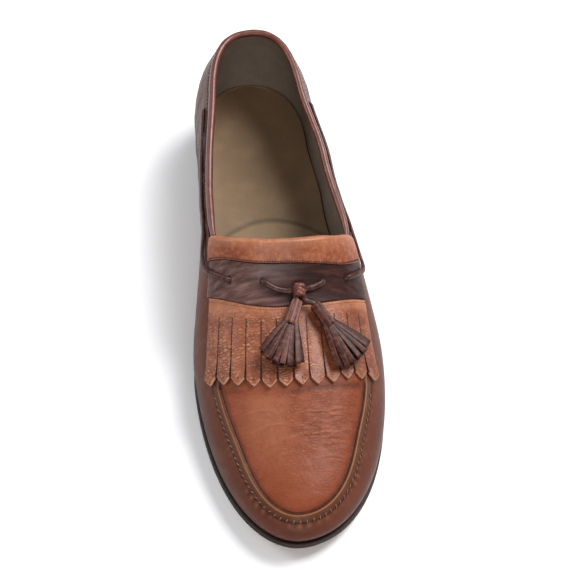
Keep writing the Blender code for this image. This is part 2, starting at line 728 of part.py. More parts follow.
def make_ends(exits, tassel_tops, mat):
    """Lace ends from the foot of the knot to the tassels."""
    for side, (top, heading) in tassel_tops.items():
        start, along = exits[side]
        share = np.linspace(0, 1, 6)[:, None]
        end = top - heading*GAP
        out, back = start + along*GAP, end - heading*GAP
        reach = 0.35*np.linalg.norm(back - out)
        leave, arrive = out + along*reach, back - heading*reach
        route = (1 - share)**3*out + 3*share*(1 - share)**2*leave
        route = route + 3*share**2*(1 - share)*arrive + share**3*back
        tube("lace_end_" + side, [start, *route, end], LACE, mat)


def main():
    clear_scene()
    brown = material("brown_calf", (0.24, 0.10, 0.065), 0.42)
    tan = material("tan_grained_calf", (0.33, 0.14, 0.085), 0.5)
    dark = material("dark_brown_calf", (0.075, 0.042, 0.038), 0.38)
    binding = material("oxblood_binding", (0.12, 0.045, 0.035), 0.4)
    sole = material("stacked_leather", (0.05, 0.035, 0.03), 0.55)
    rubber = material("black_rubber", (0.02, 0.02, 0.02), 0.7)
    lining = material("tan_lining", (0.35, 0.28, 0.22), 0.7)
    make_upper(brown)
    make_sole(sole, rubber, lining)
    make_saddle(dark)
    make_tongue(tan)
    make_kiltie(tan)
    make_binding(binding)
    make_lace(dark)
    exits = make_knot(dark)
    tops = {side: make_tassel(side, dark) for side in exits}
    make_ends(exits, tops, dark)


main()
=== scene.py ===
# %% [markdown]
# A kiltie loafer in waxed calf
#
# The shoe is a slip-on with a raised moccasin seam, a fringed flap (the kiltie), a dark saddle strap, a
# rolled leather lace and two tassels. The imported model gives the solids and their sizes. Here each visible
# piece gets its real surface: leather that creases, folds, gathers at the seam and wears at its edges.

import bpy
import bmesh
import numpy as np
from mathutils import Matrix, Vector


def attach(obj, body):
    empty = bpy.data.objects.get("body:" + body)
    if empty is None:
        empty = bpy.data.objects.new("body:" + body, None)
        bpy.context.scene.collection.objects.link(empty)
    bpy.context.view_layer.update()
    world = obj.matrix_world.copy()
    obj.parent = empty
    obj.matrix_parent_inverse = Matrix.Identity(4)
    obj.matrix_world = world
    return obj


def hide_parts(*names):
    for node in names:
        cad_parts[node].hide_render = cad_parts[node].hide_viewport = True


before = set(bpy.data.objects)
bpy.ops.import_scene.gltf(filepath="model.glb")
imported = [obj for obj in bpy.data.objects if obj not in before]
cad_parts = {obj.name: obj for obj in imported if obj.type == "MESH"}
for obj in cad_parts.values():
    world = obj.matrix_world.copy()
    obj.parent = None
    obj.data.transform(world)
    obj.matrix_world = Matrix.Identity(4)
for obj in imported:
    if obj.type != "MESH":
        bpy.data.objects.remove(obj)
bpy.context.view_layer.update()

# %% [markdown]
# Camera first. The photograph looks down at the shoe from the toe's side with a long lens. The camera keeps
# that place and that tilt of the picture, but turns to the shoe's middle and has a longer lens, so that the
# shoe fills the frame.

# %% Camera at the photograph's angle
PHOTO_SIDE = 580.0                # the photograph is 580 by 580
PHOTO_FOCAL = 2388.69             # focal length fitted to the photograph, in its pixels
SHOE_MIDDLE = (394.5, 294.0)      # middle of the shoe in the photograph, in pixels
CLOSER = 1.13                     # how much longer the lens is
camera_at = Vector((-0.14230705, -0.82742603, 1.28029875))
# Directions of the photograph's camera, each one long
photo_ahead = Vector((0.05463325, 0.55529469, -0.82985722))
photo_right = Vector((0.99519495, -0.0979133, 0.0))
photo_up = Vector((0.08125406, 0.82586972, 0.5579758))

ahead = (photo_ahead*PHOTO_FOCAL + photo_right*(SHOE_MIDDLE[0] - PHOTO_SIDE/2)
         - photo_up*(SHOE_MIDDLE[1] - PHOTO_SIDE/2)).normalized()
right = (photo_right - ahead*photo_right.dot(ahead)).normalized()
up = right.cross(ahead)
camera = bpy.data.objects.new("camera", bpy.data.cameras.new("camera"))
camera.data.sensor_width = 36.0
camera.data.lens = PHOTO_FOCAL/PHOTO_SIDE*36.0*CLOSER
turn = Matrix((right, up, -ahead)).transposed()
camera.matrix_world = Matrix.Translation(camera_at) @ turn.to_4x4()
bpy.context.scene.collection.objects.link(camera)
bpy.context.scene.camera = camera
bpy.context.scene.view_settings.view_transform = "Standard"
print("lens", round(camera.data.lens, 1), "mm")

# %% [markdown]
# Every piece of this shoe lies on the last, the wooden form that it is pulled over. So the last is one
# function of two parameters: the station s along the shoe and p round the section, from the feather line
# where upper meets sole, over the crest, to the other feather line. It is the same form as the solids'.

# %% Sizes of the last, in metres
LENGTH = 0.3005
BALL_MEDIAL, BALL_LATERAL = 0.0482, 0.0529
WAIST_MEDIAL, WAIST_LATERAL = 0.0339, 0.0358
HEEL_HALF = 0.0321
INSTEP_HEIGHT = 0.0810
SIDE_HEIGHT, LATERAL_DROP, BACK_HEIGHT = 0.0700, 0.0042, 0.0858
TOE_SHIFT, TOE_ROUND, HEEL_ROUND = -0.0042, 2.00, 2.3
BULGE = 0.0065
SOLE_THICK, SOLE_EDGE, TOE_SPRING, HEEL_HEIGHT = 0.0045, 0.0018, 0.0090, 0.0200
WALL, GAP = 0.0018, 0.0003
THROAT, BOW, SKEW = 0.0115, 0.0140, 0.0030
BINDING = 0.0046
AXIS_X = (BALL_MEDIAL - BALL_LATERAL)/2
SECTIONS = np.array([
    (-0.500, 0.407, 2.50, 0.38, 0.38),
    (-0.350, 0.475, 2.40, 0.46, 0.46),
    (-0.200, 0.616, 2.30, 0.54, 0.54),
    (-0.067, 0.765, 2.45, 0.74, 0.57),
    (0.050, 1.141, 2.60, 0.96, 0.60),
    (0.200, 1.210, 2.35, 0.84, 0.58),
    (0.350, 1.222, 2.10, 0.70, 0.50),
    (0.500, 1.235, 2.10, 0.44, 0.50),
])
ALONG, CREST, ROUND, BULGE_MEDIAL, BULGE_LATERAL = range(5)
TOPLINE = np.array([(0.00, 0.00), (0.25, 0.12), (0.50, 0.47), (0.75, 0.80), (1.00, 1.00)])
SEAM = np.array([(-0.500, 0.505), (-0.350, 0.545), (-0.200, 0.505), (0.000, 0.450)])
print("last", round(LENGTH*1000, 1), "mm long")

# %% [markdown]
# Two curves do most of the shaping: an S-curve that starts and ends level, and a smooth curve through a short
# table. A last maker blends one part of the form into the next the same way, without a corner.

# %% Blending curves


def ease(u):
    """0 to 1 with level ends: 3u^2 - 2u^3."""
    u = np.clip(u, 0, 1)
    return u*u*(3 - 2*u)


def through(xs, ys, x):
    """A smooth curve through a table: each span is a cubic whose end slopes come from the points beside."""
    slopes = np.gradient(ys, xs)
    x = np.asarray(x, float)
    k = np.clip(np.searchsorted(xs, x) - 1, 0, len(xs) - 2)
    span = xs[k + 1] - xs[k]
    t = (x - xs[k])/span
    ends = ys[k]*(1 + 2*t)*(1 - t)**2 + ys[k + 1]*t*t*(3 - 2*t)
    return ends + span*(slopes[k]*t*(1 - t)**2 + slopes[k + 1]*t*t*(t - 1))


# %% [markdown]
# Seen from above, a last is round at the toe, widest at the ball, slim at the waist and round again at the
# heel. Each side is worked out by itself, because a foot isn't the same on both. Seen from the side, the toe
# is sprung, the tread is level, and the arch climbs to the heel seat.

# %% Plan and profile of the sole


def section(column, y):
    """One column of the section table, as a smooth curve along the shoe."""
    return through(SECTIONS[:, ALONG]*LENGTH, SECTIONS[:, column], y)


def half_width(y, side):
    """Axis to feather line: a rounded toe |x/a|^n + |y/b|^n = 1, eased waist and heel, and a rounded seat."""
    y = np.asarray(y, float)
    ball, waist = (BALL_MEDIAL, WAIST_MEDIAL) if side < 0 else (BALL_LATERAL, WAIST_LATERAL)
    y_ball, y_waist = (-0.149*LENGTH, 0.133*LENGTH) if side < 0 else (-0.132*LENGTH, 0.206*LENGTH)
    y_heel = 0.346*LENGTH
    u = np.clip((y_ball - y)/(y_ball + LENGTH/2), 0, 1)
    toe = TOE_SHIFT*side + (ball - TOE_SHIFT*side)*(1 - u**TOE_ROUND)**(1/TOE_ROUND)
    shank = ball + (waist - ball)*ease((y - y_ball)/(y_waist - y_ball))
    seat = waist + (HEEL_HALF - waist)*ease((y - y_waist)/(y_heel - y_waist))
    v = np.clip((y - y_heel)/(LENGTH/2 - y_heel), 0, 1)
    cap = HEEL_HALF*(1 - v**HEEL_ROUND)**(1/HEEL_ROUND)
    return np.where(y < y_ball, toe, np.where(y < y_waist, shank, np.where(y < y_heel, seat, cap)))


def outward(y, side):
    """Plan direction square to the feather line: its slope, turned by a right angle and made one long."""
    step = 0.0005
    slope = (half_width(y + step, side) - half_width(y - step, side))/(2*step)
    size = np.hypot(1, slope)
    return side/size, -slope/size


def sole_top(y):
    """Upper face of the outsole: toe spring, level tread, arch and heel seat."""
    spring = np.clip((-0.266*LENGTH - y)/(0.234*LENGTH), 0, 1)
    return SOLE_THICK + TOE_SPRING*spring**2 + HEEL_HEIGHT*ease((y + 0.117*LENGTH)/(0.356*LENGTH))


def crest_x(y):
    """Sideways place of the crest, straight between five places along the shoe."""
    return np.interp(y, np.array([-0.5, -0.2, 0, 0.2, 0.5])*LENGTH, [TOE_SHIFT, -0.0030, -0.0025, -0.0015, 0])


# %% [markdown]
# A section of the last is a superellipse, |x/a|^n + |z/b|^n = 1: n near 2 is round, and a higher n is boxier.
# It climbs from the feather line to the crest and swells a little outwards on the way, as a foot does. Over
# the instep the sections lean back, so that the edges of the bands can follow one station.

# %% Surface of the last


def last_side(s, side, turn):
    """Point at station s: a superellipse from the feather line (turn 0) to the crest (turn pi/2), swollen."""
    fan = 0.140*LENGTH*(1 - np.clip((s + LENGTH/2)/(0.3*LENGTH), 0, 1))**2
    fan = fan - 0.087*LENGTH*np.clip((s - 0.346*LENGTH)/(0.154*LENGTH), 0, 1)**2
    near = ease((s + 0.35*LENGTH)/(0.15*LENGTH))*(1 - ease((s - THROAT - 0.025*LENGTH)/(0.2*LENGTH)))
    start = s - side*SKEW*near
    power = 2/section(ROUND, s)
    rise = np.abs(np.sin(turn))**power
    reach = 1 - np.abs(np.cos(turn))**power
    top = s + fan - BOW*near
    y = start + fan*reach + (s - BOW*near - start)*(1 - (1 - reach)**2)
    x = side*half_width(start, side)
    x = x + (crest_x(top) - x)*reach
    foot = sole_top(start) + GAP
    z = foot + (section(CREST, y)*INSTEP_HEIGHT - foot)*rise
    swell = section(BULGE_MEDIAL if side < 0 else BULGE_LATERAL, s)*BULGE
    swell = swell*np.sin(np.pi*np.clip(rise/0.95, 0, 1))
    nx, ny = outward(start, side)
    return np.stack([x + nx*swell + AXIS_X, y + ny*swell, z], -1)


def last(s, p):
    """Point of the last: p is -1 on the medial feather line, 0 on the crest and 1 on the lateral one."""
    s, p = np.broadcast_arrays(np.asarray(s, float), np.asarray(p, float))
    turn = (1 - np.abs(p))*np.pi/2
    return np.where((p < 0)[..., None], last_side(s, -1, turn), last_side(s, 1, turn))


def normal(s, p):
    """Unit vector out of the last: the cross product of its two slopes."""
    ds, dp = 0.0004, 0.002
    s = np.clip(s, ds - LENGTH/2, LENGTH/2 - ds)
    along = last(s + ds, p) - last(s - ds, p)
    across = last(s, np.minimum(p + dp, 1)) - last(s, np.maximum(p - dp, -1))
    n = np.cross(across, along)
    return n/np.linalg.norm(n, axis=-1, keepdims=True)


def skin(s, p, h):
    """Point at height h over the last."""
    s, p, h = np.broadcast_arrays(np.asarray(s, float), np.asarray(p, float), np.asarray(h, float))
    return last(s, p) + normal(s, p)*h[..., None]


# %% [markdown]
# A strip of leather is cut in millimetres, not in shares of a section. So one table turns an arc, the
# distance from the crest measured over the leather, into p. It is worked out once and then read between its
# points.

# %% Arcs over the instep
ARC_STATIONS = np.linspace(-0.100, 0.030, 261)
ARC_REACH = 0.075
ARC_STEPS = 301
p_line = np.linspace(-1, 1, 401)
lines = last(ARC_STATIONS[:, None], p_line[None, :])
lengths = np.linalg.norm(np.diff(lines, axis=1), axis=2)
runs = np.concatenate([np.zeros((len(lines), 1)), np.cumsum(lengths, 1)], 1)
runs = runs - runs[:, 200:201]
arc_line = np.linspace(-ARC_REACH, ARC_REACH, ARC_STEPS)
P_OF_ARC = np.stack([np.interp(arc_line, run, p_line) for run in runs])


def p_at_arc(s, arc):
    """p at a station and an arc from the crest, blended between the four nearest table entries."""
    s, arc = np.broadcast_arrays(np.asarray(s, float), np.asarray(arc, float))
    x = np.clip((s - ARC_STATIONS[0])/(ARC_STATIONS[1] - ARC_STATIONS[0]), 0, len(ARC_STATIONS) - 1.001)
    y = np.clip((arc + ARC_REACH)/(2*ARC_REACH)*(ARC_STEPS - 1), 0, ARC_STEPS - 1.001)
    i, j = x.astype(int), y.astype(int)
    u, v = x - i, y - j
    low = P_OF_ARC[i, j]*(1 - v) + P_OF_ARC[i, j + 1]*v
    high = P_OF_ARC[i + 1, j]*(1 - v) + P_OF_ARC[i + 1, j + 1]*v
    return low*(1 - u) + high*u


def vamp(s, arc, h):
    """Point over the instep at station s, an arc from the crest and height h."""
    return skin(s, p_at_arc(s, arc), h)


print("crest at the throat", vamp(THROAT, 0.0, 0.0).round(4))

# %% [markdown]
# The upper's edges are lines on the last. The topline is known by its height over the floor, lowest at the
# throat and highest behind the heel, and the moccasin seam by a short table of places. The wall ends at one
# or the other, and between them its edge eases across.

# %% Topline and moccasin seam


def topline(s, side):
    """Height of the collar's top: the side's height, raised towards the back by the topline's table."""
    start = SIDE_HEIGHT if side < 0 else SIDE_HEIGHT - LATERAL_DROP
    back = np.clip((np.asarray(s) - THROAT)/(LENGTH/2 - THROAT), 0, 1)
    return start + (BACK_HEIGHT - start)*through(TOPLINE[:, 0], TOPLINE[:, 1], back)


def p_at_height(s, side, z):
    """p where the section at s reaches height z: the span of p is halved 30 times around that place."""
    low, high = np.full(np.shape(s), 1.0), np.zeros(np.shape(s))
    for _ in range(30):
        mid = (low + high)/2
        under = last(s, side*mid)[..., 2] < z
        low, high = np.where(under, mid, low), np.where(under, high, mid)
    return (low + high)/2


def seam_p(s):
    """p of the moccasin seam's groove: 1 less its share of the way up, from the seam's table."""
    return 1 - through(SEAM[:, 0]*LENGTH, SEAM[:, 1], np.minimum(s, 0))


def wall_edge(s, side):
    """p of the wall's edge: the topline behind the throat, the moccasin seam in front of it."""
    top = p_at_height(np.maximum(s, THROAT), side, topline(s, side) - BINDING - GAP)
    seam = seam_p(s)
    return seam + (top - seam)*ease((s + 0.17*LENGTH)/(THROAT + 0.17*LENGTH))


print("collar", (topline(np.array([THROAT, LENGTH/2]), -1)*1000).round(1), "mm high, in front and behind")

# %% [markdown]
# One helper turns a grid of points into an object that rides on the shoe. It carries named marks, a number at
# each point, that tell the material where an edge, a slit or a rubbed place is. Another gives a sheet of
# leather its thickness with Solidify and rounds its cut edges with Bevel.

# %% Mesh helpers


def weld(mesh):
    """Merge points that fall together, such as a fan's pole, and drop those that no face uses."""
    work = bmesh.new()
    work.from_mesh(mesh)
    bmesh.ops.delete(work, geom=[v for v in work.verts if not v.link_faces], context="VERTS")
    bmesh.ops.remove_doubles(work, verts=work.verts, dist=0.000004)
    work.to_mesh(mesh)
    work.free()


def piece(name, points, mat, stands_for=(), marks=None, keep=None, wrap=False):
    """An object from a grid of points. Faces point to the side that columns cross rows gives."""
    rows, columns = points.shape[:2]
    index = np.arange(rows*columns).reshape(rows, columns)
    if wrap:
        index = np.concatenate([index, index[:, :1]], 1)
    quads = np.stack([index[:-1, :-1], index[:-1, 1:], index[1:, 1:], index[1:, :-1]], -1)
    quads = quads.reshape(-1, 4) if keep is None else quads[keep]
    mesh = bpy.data.meshes.new(name)
    mesh.from_pydata(points.reshape(-1, 3).tolist(), [], quads.tolist())
    for mark, values in (marks or {}).items():
        layer = mesh.attributes.new(mark, "FLOAT", "POINT")
        values = np.broadcast_to(values, (rows, columns)).astype(np.float32)
        layer.data.foreach_set("value", values.ravel())
    weld(mesh)
    mesh.materials.append(mat)
    mesh.shade_smooth()
    obj = bpy.data.objects.new(name, mesh)
    bpy.context.scene.collection.objects.link(obj)
    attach(obj, "root")
    if stands_for:
        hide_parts(*stands_for)
    print(name, len(mesh.polygons), "faces")
    return obj


def thicken(obj, thickness, offset, rounding):
    """Give a sheet its thickness and rounded edges."""
    solid = obj.modifiers.new("thickness", "SOLIDIFY")
    solid.thickness = thickness
    solid.offset = offset
    solid.use_quality_normals = True
    bevel = obj.modifiers.new("edges", "BEVEL")
    bevel.width = rounding
    bevel.segments = 2
    bevel.limit_method = "ANGLE"
    bevel.angle_limit = np.radians(50)
    bevel.harden_normals = True
    return obj


# %% [markdown]
# Materials are built from nodes. Colours are picked as they look on a screen, in sRGB, but light adds up in
# linear values, so one function converts them. Another adds any node with its settings and its links.

# %% Colour and node helpers


def linear(code):
    """An sRGB hex colour as linear values: c/12.92 near black, else ((c + 0.055)/1.055)^2.4, and alpha 1."""
    srgb = np.array([int(code[k:k + 2], 16) for k in (1, 3, 5)])/255
    value = np.where(srgb <= 0.04045, srgb/12.92, ((srgb + 0.055)/1.055)**2.4)
    return (*value.tolist(), 1.0)


def add(tree, kind, settings=None, links=None, stops=()):
    """Add one node: set its properties and sockets, link its inputs, and give a ramp (place, hex) stops."""
    made = tree.nodes.new(kind)
    for key, value in (settings or {}).items():
        if isinstance(key, str) and hasattr(made, key):
            setattr(made, key, value)
        else:
            made.inputs[key].default_value = value
    for key, socket in (links or {}).items():
        tree.links.new(socket, made.inputs[key])
    elements = made.color_ramp.elements if stops else ()
    while len(elements) < len(stops):
        elements.new(0.5)
    for element, (place, code) in zip(elements, stops):
        element.position = place
        element.color = linear(code)
    return made


# %% [markdown]
# Leather is never even. Wherever a shape or a colour needs a slow, random drift, it comes from value noise:
# random numbers on a lattice of a real size in millimetres, blended smoothly between their places.

# %% Noise for shapes


def mottle(u, v, size, seed):
    """Value noise: random heights on a lattice of that size, blended with eased weights, from -1 to 1."""
    table = np.random.default_rng(seed).uniform(-1, 1, (64, 64))
    x, y = u/size, v/size
    i, j = np.floor(x).astype(int), np.floor(y).astype(int)
    fx, fy = ease(x - i), ease(y - j)
    near = table[i % 64, j % 64]*(1 - fy) + table[i % 64, (j + 1) % 64]*fy
    far = table[(i + 1) % 64, j % 64]*(1 - fy) + table[(i + 1) % 64, (j + 1) % 64]*fy
    return near*(1 - fx) + far*fx


# %% [markdown]
# Waxed calf is a full-grain leather, dyed through and polished by hand. The eye sees a warm brown with painted
# shade in its creases and hollows, a soft clear shine, tiny pores and fine creases. One recipe builds it: the
# colour comes from the zones that a piece marks, the pores from small cells, and the creases from a noise
# that is stretched one way. Leather's IOR is near 1.5, and polish is a thin coat over it. Real pores are
# 0.1 to 0.3 mm wide and wouldn't show at this size, so the cells are about 1 mm.

# %% Recipe for calf leather
GRAIN_DEPTH_MM = 0.34             # how deep broken grain sinks
BLOTCH_MM = 9.0                   # size of duller and shinier patches


def calf(name, colour_of, roughness, coat, pore_mm, pore_depth_mm, crease_mm, crease_depth_mm, level=0.5):
    """A leather material. Three bumps lie over each other: pores, creases and, where it has some, grain.

    colour_of(tree, places in mm) returns the colour's socket, and the grain's height or None. The roughness
    drifts between 0.07 under and 0.09 over its value with a noise of slow patches.
    """
    mat = bpy.data.materials.new(name)
    mat.use_nodes = True
    tree = mat.node_tree
    shader = tree.nodes["Principled BSDF"]
    places = add(tree, "ShaderNodeTexCoord").outputs["Object"]
    mm = add(tree, "ShaderNodeMapping", {"Scale": (1000, 1000, 1000)}, {"Vector": places}).outputs[0]
    colour, grain = colour_of(tree, mm)
    tree.links.new(colour, shader.inputs["Base Color"])
    cells = add(tree, "ShaderNodeTexVoronoi", {"feature": "F1", "Scale": 1/pore_mm}, {"Vector": mm})
    bump = add(tree, "ShaderNodeBump", {"Strength": 0.7, "Distance": pore_depth_mm/1000},
               {"Height": cells.outputs["Distance"]})
    stretch = add(tree, "ShaderNodeMapping", {"Scale": (0.55, 1.0, 1.0)}, {"Vector": mm})
    folds = add(tree, "ShaderNodeTexNoise",
                {"noise_type": "RIDGED_MULTIFRACTAL", "Scale": 1/crease_mm, "Detail": 3.0, "Roughness": 0.6},
                {"Vector": stretch.outputs[0]})
    bump = add(tree, "ShaderNodeBump", {"Strength": 0.6, "Distance": crease_depth_mm/1000},
               {"Height": folds.outputs[0], "Normal": bump.outputs[0]})
    if grain:
        bump = add(tree, "ShaderNodeBump", {"Strength": 1.0, "Distance": GRAIN_DEPTH_MM/1000},
                   {"Height": grain, "Normal": bump.outputs[0]})
    tree.links.new(bump.outputs[0], shader.inputs["Normal"])
    blotch = add(tree, "ShaderNodeTexNoise", {"Scale": 1/BLOTCH_MM, "Detail": 3.0}, {"Vector": mm})
    shine = add(tree, "ShaderNodeMapRange", {"To Min": roughness - 0.07, "To Max": roughness + 0.09},
                {"Value": blotch.outputs[0]})
    tree.links.new(shine.outputs[0], shader.inputs["Roughness"])
    shader.inputs["IOR"].default_value = 1.5
    shader.inputs["Specular IOR Level"].default_value = level
    shader.inputs["Coat Weight"].default_value = coat
    shader.inputs["Coat Roughness"].default_value = 0.22
    return mat


# %% [markdown]
# Worn leather is mottled. A fine noise shifts its colour a little to a darker and a paler tone everywhere,
# and one mark does it place by place: 1 paler, as wear and as painted highlight, and -1 darker, as painted
# shade in creases, pleats and wrinkles, in front of the fringe's tips and on the lateral tabs.

# %% Mottled colour, wear and painted light


def worn_and_painted_light(tree, mm, colour, pale, dark, size_mm, share):
    """Mix a colour with a dark and a pale tone, by noise and then by rub.

    colour is a node's socket, or a hex code where the leather has one colour. share is the most that the
    noise mixes in; the mark mixes in up to 0.85 of the dark tone, as painted shade, and 0.55 of the pale
    one, as wear and painted highlight.
    """
    plain = isinstance(colour, str)
    noise = add(tree, "ShaderNodeTexNoise", {"Scale": 1/size_mm, "Detail": 4.0, "Roughness": 0.6},
                {"Vector": mm}).outputs[0]
    low = add(tree, "ShaderNodeMapRange",
              {"From Min": 0.30, "From Max": 0.52, "To Min": share, "To Max": 0.0},
              {"Value": noise}).outputs[0]
    high = add(tree, "ShaderNodeMapRange", {"From Min": 0.50, "From Max": 0.72, "To Max": share},
               {"Value": noise}).outputs[0]
    settings = {"Color2": linear(dark)} | ({"Color1": linear(colour)} if plain else {})
    links = {"Fac": low} | ({} if plain else {"Color1": colour})
    tone = add(tree, "ShaderNodeMixRGB", settings, links).outputs[0]
    tone = add(tree, "ShaderNodeMixRGB", {"Color2": linear(pale)}, {"Color1": tone, "Fac": high}).outputs[0]
    # The mark of wear and painted light: under -0.1 it mixes in painted shade, over 0.1 wear and painted
    # highlight.
    rub_and_painted_light = add(tree, "ShaderNodeAttribute", {"attribute_name": "rub_and_painted_light"}).outputs["Fac"]
    low = add(tree, "ShaderNodeMapRange", {"From Min": -1.0, "From Max": -0.1, "To Min": 0.85, "To Max": 0.0},
              {"Value": rub_and_painted_light}).outputs[0]
    high = add(tree, "ShaderNodeMapRange", {"From Min": 0.1, "From Max": 1.0, "To Min": 0.0, "To Max": 0.55},
               {"Value": rub_and_painted_light}).outputs[0]
    tone = add(tree, "ShaderNodeMixRGB", {"Color2": linear(dark)}, {"Color1": tone, "Fac": low}).outputs[0]
    return add(tree, "ShaderNodeMixRGB", {"Color2": linear(pale)}, {"Color1": tone, "Fac": high}).outputs[0]


# %% [markdown]
# Where leather bends for years its grain breaks into small cells with sunken borders, longer one way. Voronoi
# cells have such borders: the distance to the nearest border is a height that rises from the crack.

# %% Broken grain


def crackle(tree, mm, size_mm):
    """Broken grain: (height, valley) of cells with sunken borders, as strong as the mark grainy says.

    The places drift with a slow noise and are turned and stretched, so that the cells aren't alike.
    """
    drift = add(tree, "ShaderNodeTexNoise", {"Scale": 1/4.0, "Detail": 2.0}, {"Vector": mm})
    moved = add(tree, "ShaderNodeVectorMath", {"operation": "MULTIPLY_ADD", 1: (3.0, 3.0, 3.0)},
                {0: drift.outputs["Color"], 2: mm})
    stretch = add(tree, "ShaderNodeMapping", {"Rotation": (0, 0, -0.35), "Scale": (0.5, 1.35, 1.0)},
                  {"Vector": moved.outputs[0]})
    cells = add(tree, "ShaderNodeTexVoronoi", {"feature": "DISTANCE_TO_EDGE", "Scale": 1/size_mm},
                {"Vector": stretch.outputs[0]})
    swell = add(tree, "ShaderNodeMapRange", {"interpolation_type": "SMOOTHSTEP", "From Max": 0.30},
                {"Value": cells.outputs["Distance"]})
    grainy = add(tree, "ShaderNodeAttribute", {"attribute_name": "grainy"}).outputs["Fac"]
    patches = add(tree, "ShaderNodeTexNoise", {"Scale": 1/6.0, "Detail": 1.0}, {"Vector": mm})
    share = add(tree, "ShaderNodeMapRange", {"From Min": 0.35, "From Max": 0.60, "To Min": 0.25},
                {"Value": patches.outputs[0]})
    amount = add(tree, "ShaderNodeMath", {"operation": "MULTIPLY"}, {0: grainy, 1: share.outputs[0]})
    amount = amount.outputs[0]
    height = add(tree, "ShaderNodeMath", {"operation": "MULTIPLY"},
                 {0: swell.outputs[0], 1: amount}).outputs[0]
    valley = add(tree, "ShaderNodeMath", {"operation": "SUBTRACT"}, {0: amount, 1: height}).outputs[0]
    return height, valley


# %% [markdown]
# The upper's calf is dyed a warm brown and waxed to a soft shine. Its colour goes by zones along the moccasin
# seam: painted shade in the groove, a pale top of the ridge that is partly wear and partly painted highlight,
# painted shade at the ridge's foot, and painted shade that darkens the wall towards the sole. The quarters
# behind are a cooler, darker brown.

# %% Waxed brown calf


def upper_colour(tree, mm):
    """Zones by the distance from the seam's groove, -20 to 30 mm over the ramp, and a darker quarter."""
    seam = add(tree, "ShaderNodeAttribute", {"attribute_name": "seam"}).outputs["Fac"]
    behind = add(tree, "ShaderNodeAttribute", {"attribute_name": "quarter"}).outputs["Fac"]
    across = add(tree, "ShaderNodeMapRange", {"From Min": -20.0, "From Max": 30.0},
                 {"Value": seam}).outputs[0]
    # Stops: painted shade in the groove, the ridge's pale top (wear and painted highlight), painted shade at
    # the ridge's foot, and painted shade that darkens the wall out to 30 mm.
    zones = add(tree, "ShaderNodeValToRGB", links={0: across}, stops=[
        (0.00, "#7E4530"), (0.33, "#773C27"), (0.386, "#6A3422"), (0.395, "#3A1A0F"), (0.420, "#41200F"),
        (0.432, "#84573C"), (0.443, "#5A3626"), (0.498, "#4C2C1F"), (0.513, "#361A0F"), (0.535, "#5B3427"),
        (0.68, "#552E22"), (1.00, "#33160B"),
    ]).outputs["Color"]
    quarter = add(tree, "ShaderNodeMixRGB", {"Color2": linear("#50362D")},
                  {"Color1": zones, "Fac": behind}).outputs[0]
    height, valley = crackle(tree, mm, 2.0)
    tone = worn_and_painted_light(tree, mm, quarter, "#98644C", "#2A120D", 7.0, 0.09)
    # Painted shade darkens the valleys of the broken grain.
    part = add(tree, "ShaderNodeMath", {"operation": "MULTIPLY", 1: 0.45}, {0: valley}).outputs[0]
    dark = add(tree, "ShaderNodeMixRGB", {"Color2": linear("#4A2214")}, {"Color1": tone, "Fac": part})
    return dark.outputs[0], height


brown_calf = calf("waxed_brown_calf", upper_colour, 0.38, 0.05, 1.3, 0.15, 6.0, 0.22, 0.07)
print("leather ready:", brown_calf.name)

# %% [markdown]
# The upper is the leather pulled over the last. The plug on top and the wall round it meet in the moccasin
# seam, which needs detail of half a millimetre, while the plain walls need little. So the grid's stations are
# close at the toe, and its rows are close within 10 mm of the wall's edge and even below.

# %% Grid of the upper
CLOSE_BAND = 0.010                # width of the band with close rows
front = -LENGTH/2 + (THROAT + LENGTH/2)*(1 - np.cos(np.pi*np.linspace(0, 1, 300)))/2
back = THROAT + (LENGTH/2 - THROAT)*np.sin(np.pi/2*np.linspace(0, 1, 121))
s_upper = np.concatenate([front, back[1:]])


def wall_rows(side):
    """p of the wall's rows at each station: even steps up to 10 mm below the edge, then close rows."""
    edge = wall_edge(s_upper, side)
    step = 0.01
    pace = np.linalg.norm(last(s_upper, side*(edge + step)) - last(s_upper, side*edge), axis=1)/step
    close = edge[None, :] + np.linspace(0, CLOSE_BAND, 27)[:, None]/pace[None, :]
    low = close[-1][None, :] + (1 - close[-1][None, :])*np.linspace(0, 1, 17)[1:, None]
    return side*np.concatenate([close, low])


medial_rows, lateral_rows = wall_rows(-1)[::-1], wall_rows(1)
near_edge = np.array([0.02, 0.045, 0.08])
inner = np.concatenate([near_edge, np.linspace(0.12, 0.88, 40), 1 - near_edge[::-1]])[:, None]
crown = medial_rows[-1][None, :]*(1 - inner) + lateral_rows[0][None, :]*inner
p_upper = np.concatenate([medial_rows, crown, lateral_rows])
base = last(s_upper[None, :], p_upper)
bare_normal = normal(s_upper[None, :], p_upper)
print("grid of", p_upper.shape, "points")

# %% [markdown]
# Everything at the seam follows one line, the groove. Each point of the upper gets two measures from it: how
# far it lies from the groove, and how far along the groove it is. They work like a ruler laid on the leather.

# %% Distance from the groove
GROOVE_REACH = 0.100              # how far back from the toe the groove is followed


def groove_line():
    """Even points on the groove, from under the flap round the toe and back, and the run along it."""
    s = -LENGTH/2 + GROOVE_REACH*(1 - np.cos(np.pi/2*np.linspace(0, 1, 260)))
    medial, lateral = last(s, -seam_p(s)), last(s, seam_p(s))
    line = np.concatenate([medial[::-1], lateral[1:]])
    run = np.concatenate([[0], np.cumsum(np.linalg.norm(np.diff(line, axis=0), axis=1))])
    even = np.linspace(0, run[-1], 900)
    return np.stack([np.interp(even, run, line[:, k]) for k in range(3)], -1), even


groove, groove_run = groove_line()
groove_along = np.gradient(groove, axis=0)
groove_along /= np.linalg.norm(groove_along, axis=1)[:, None]


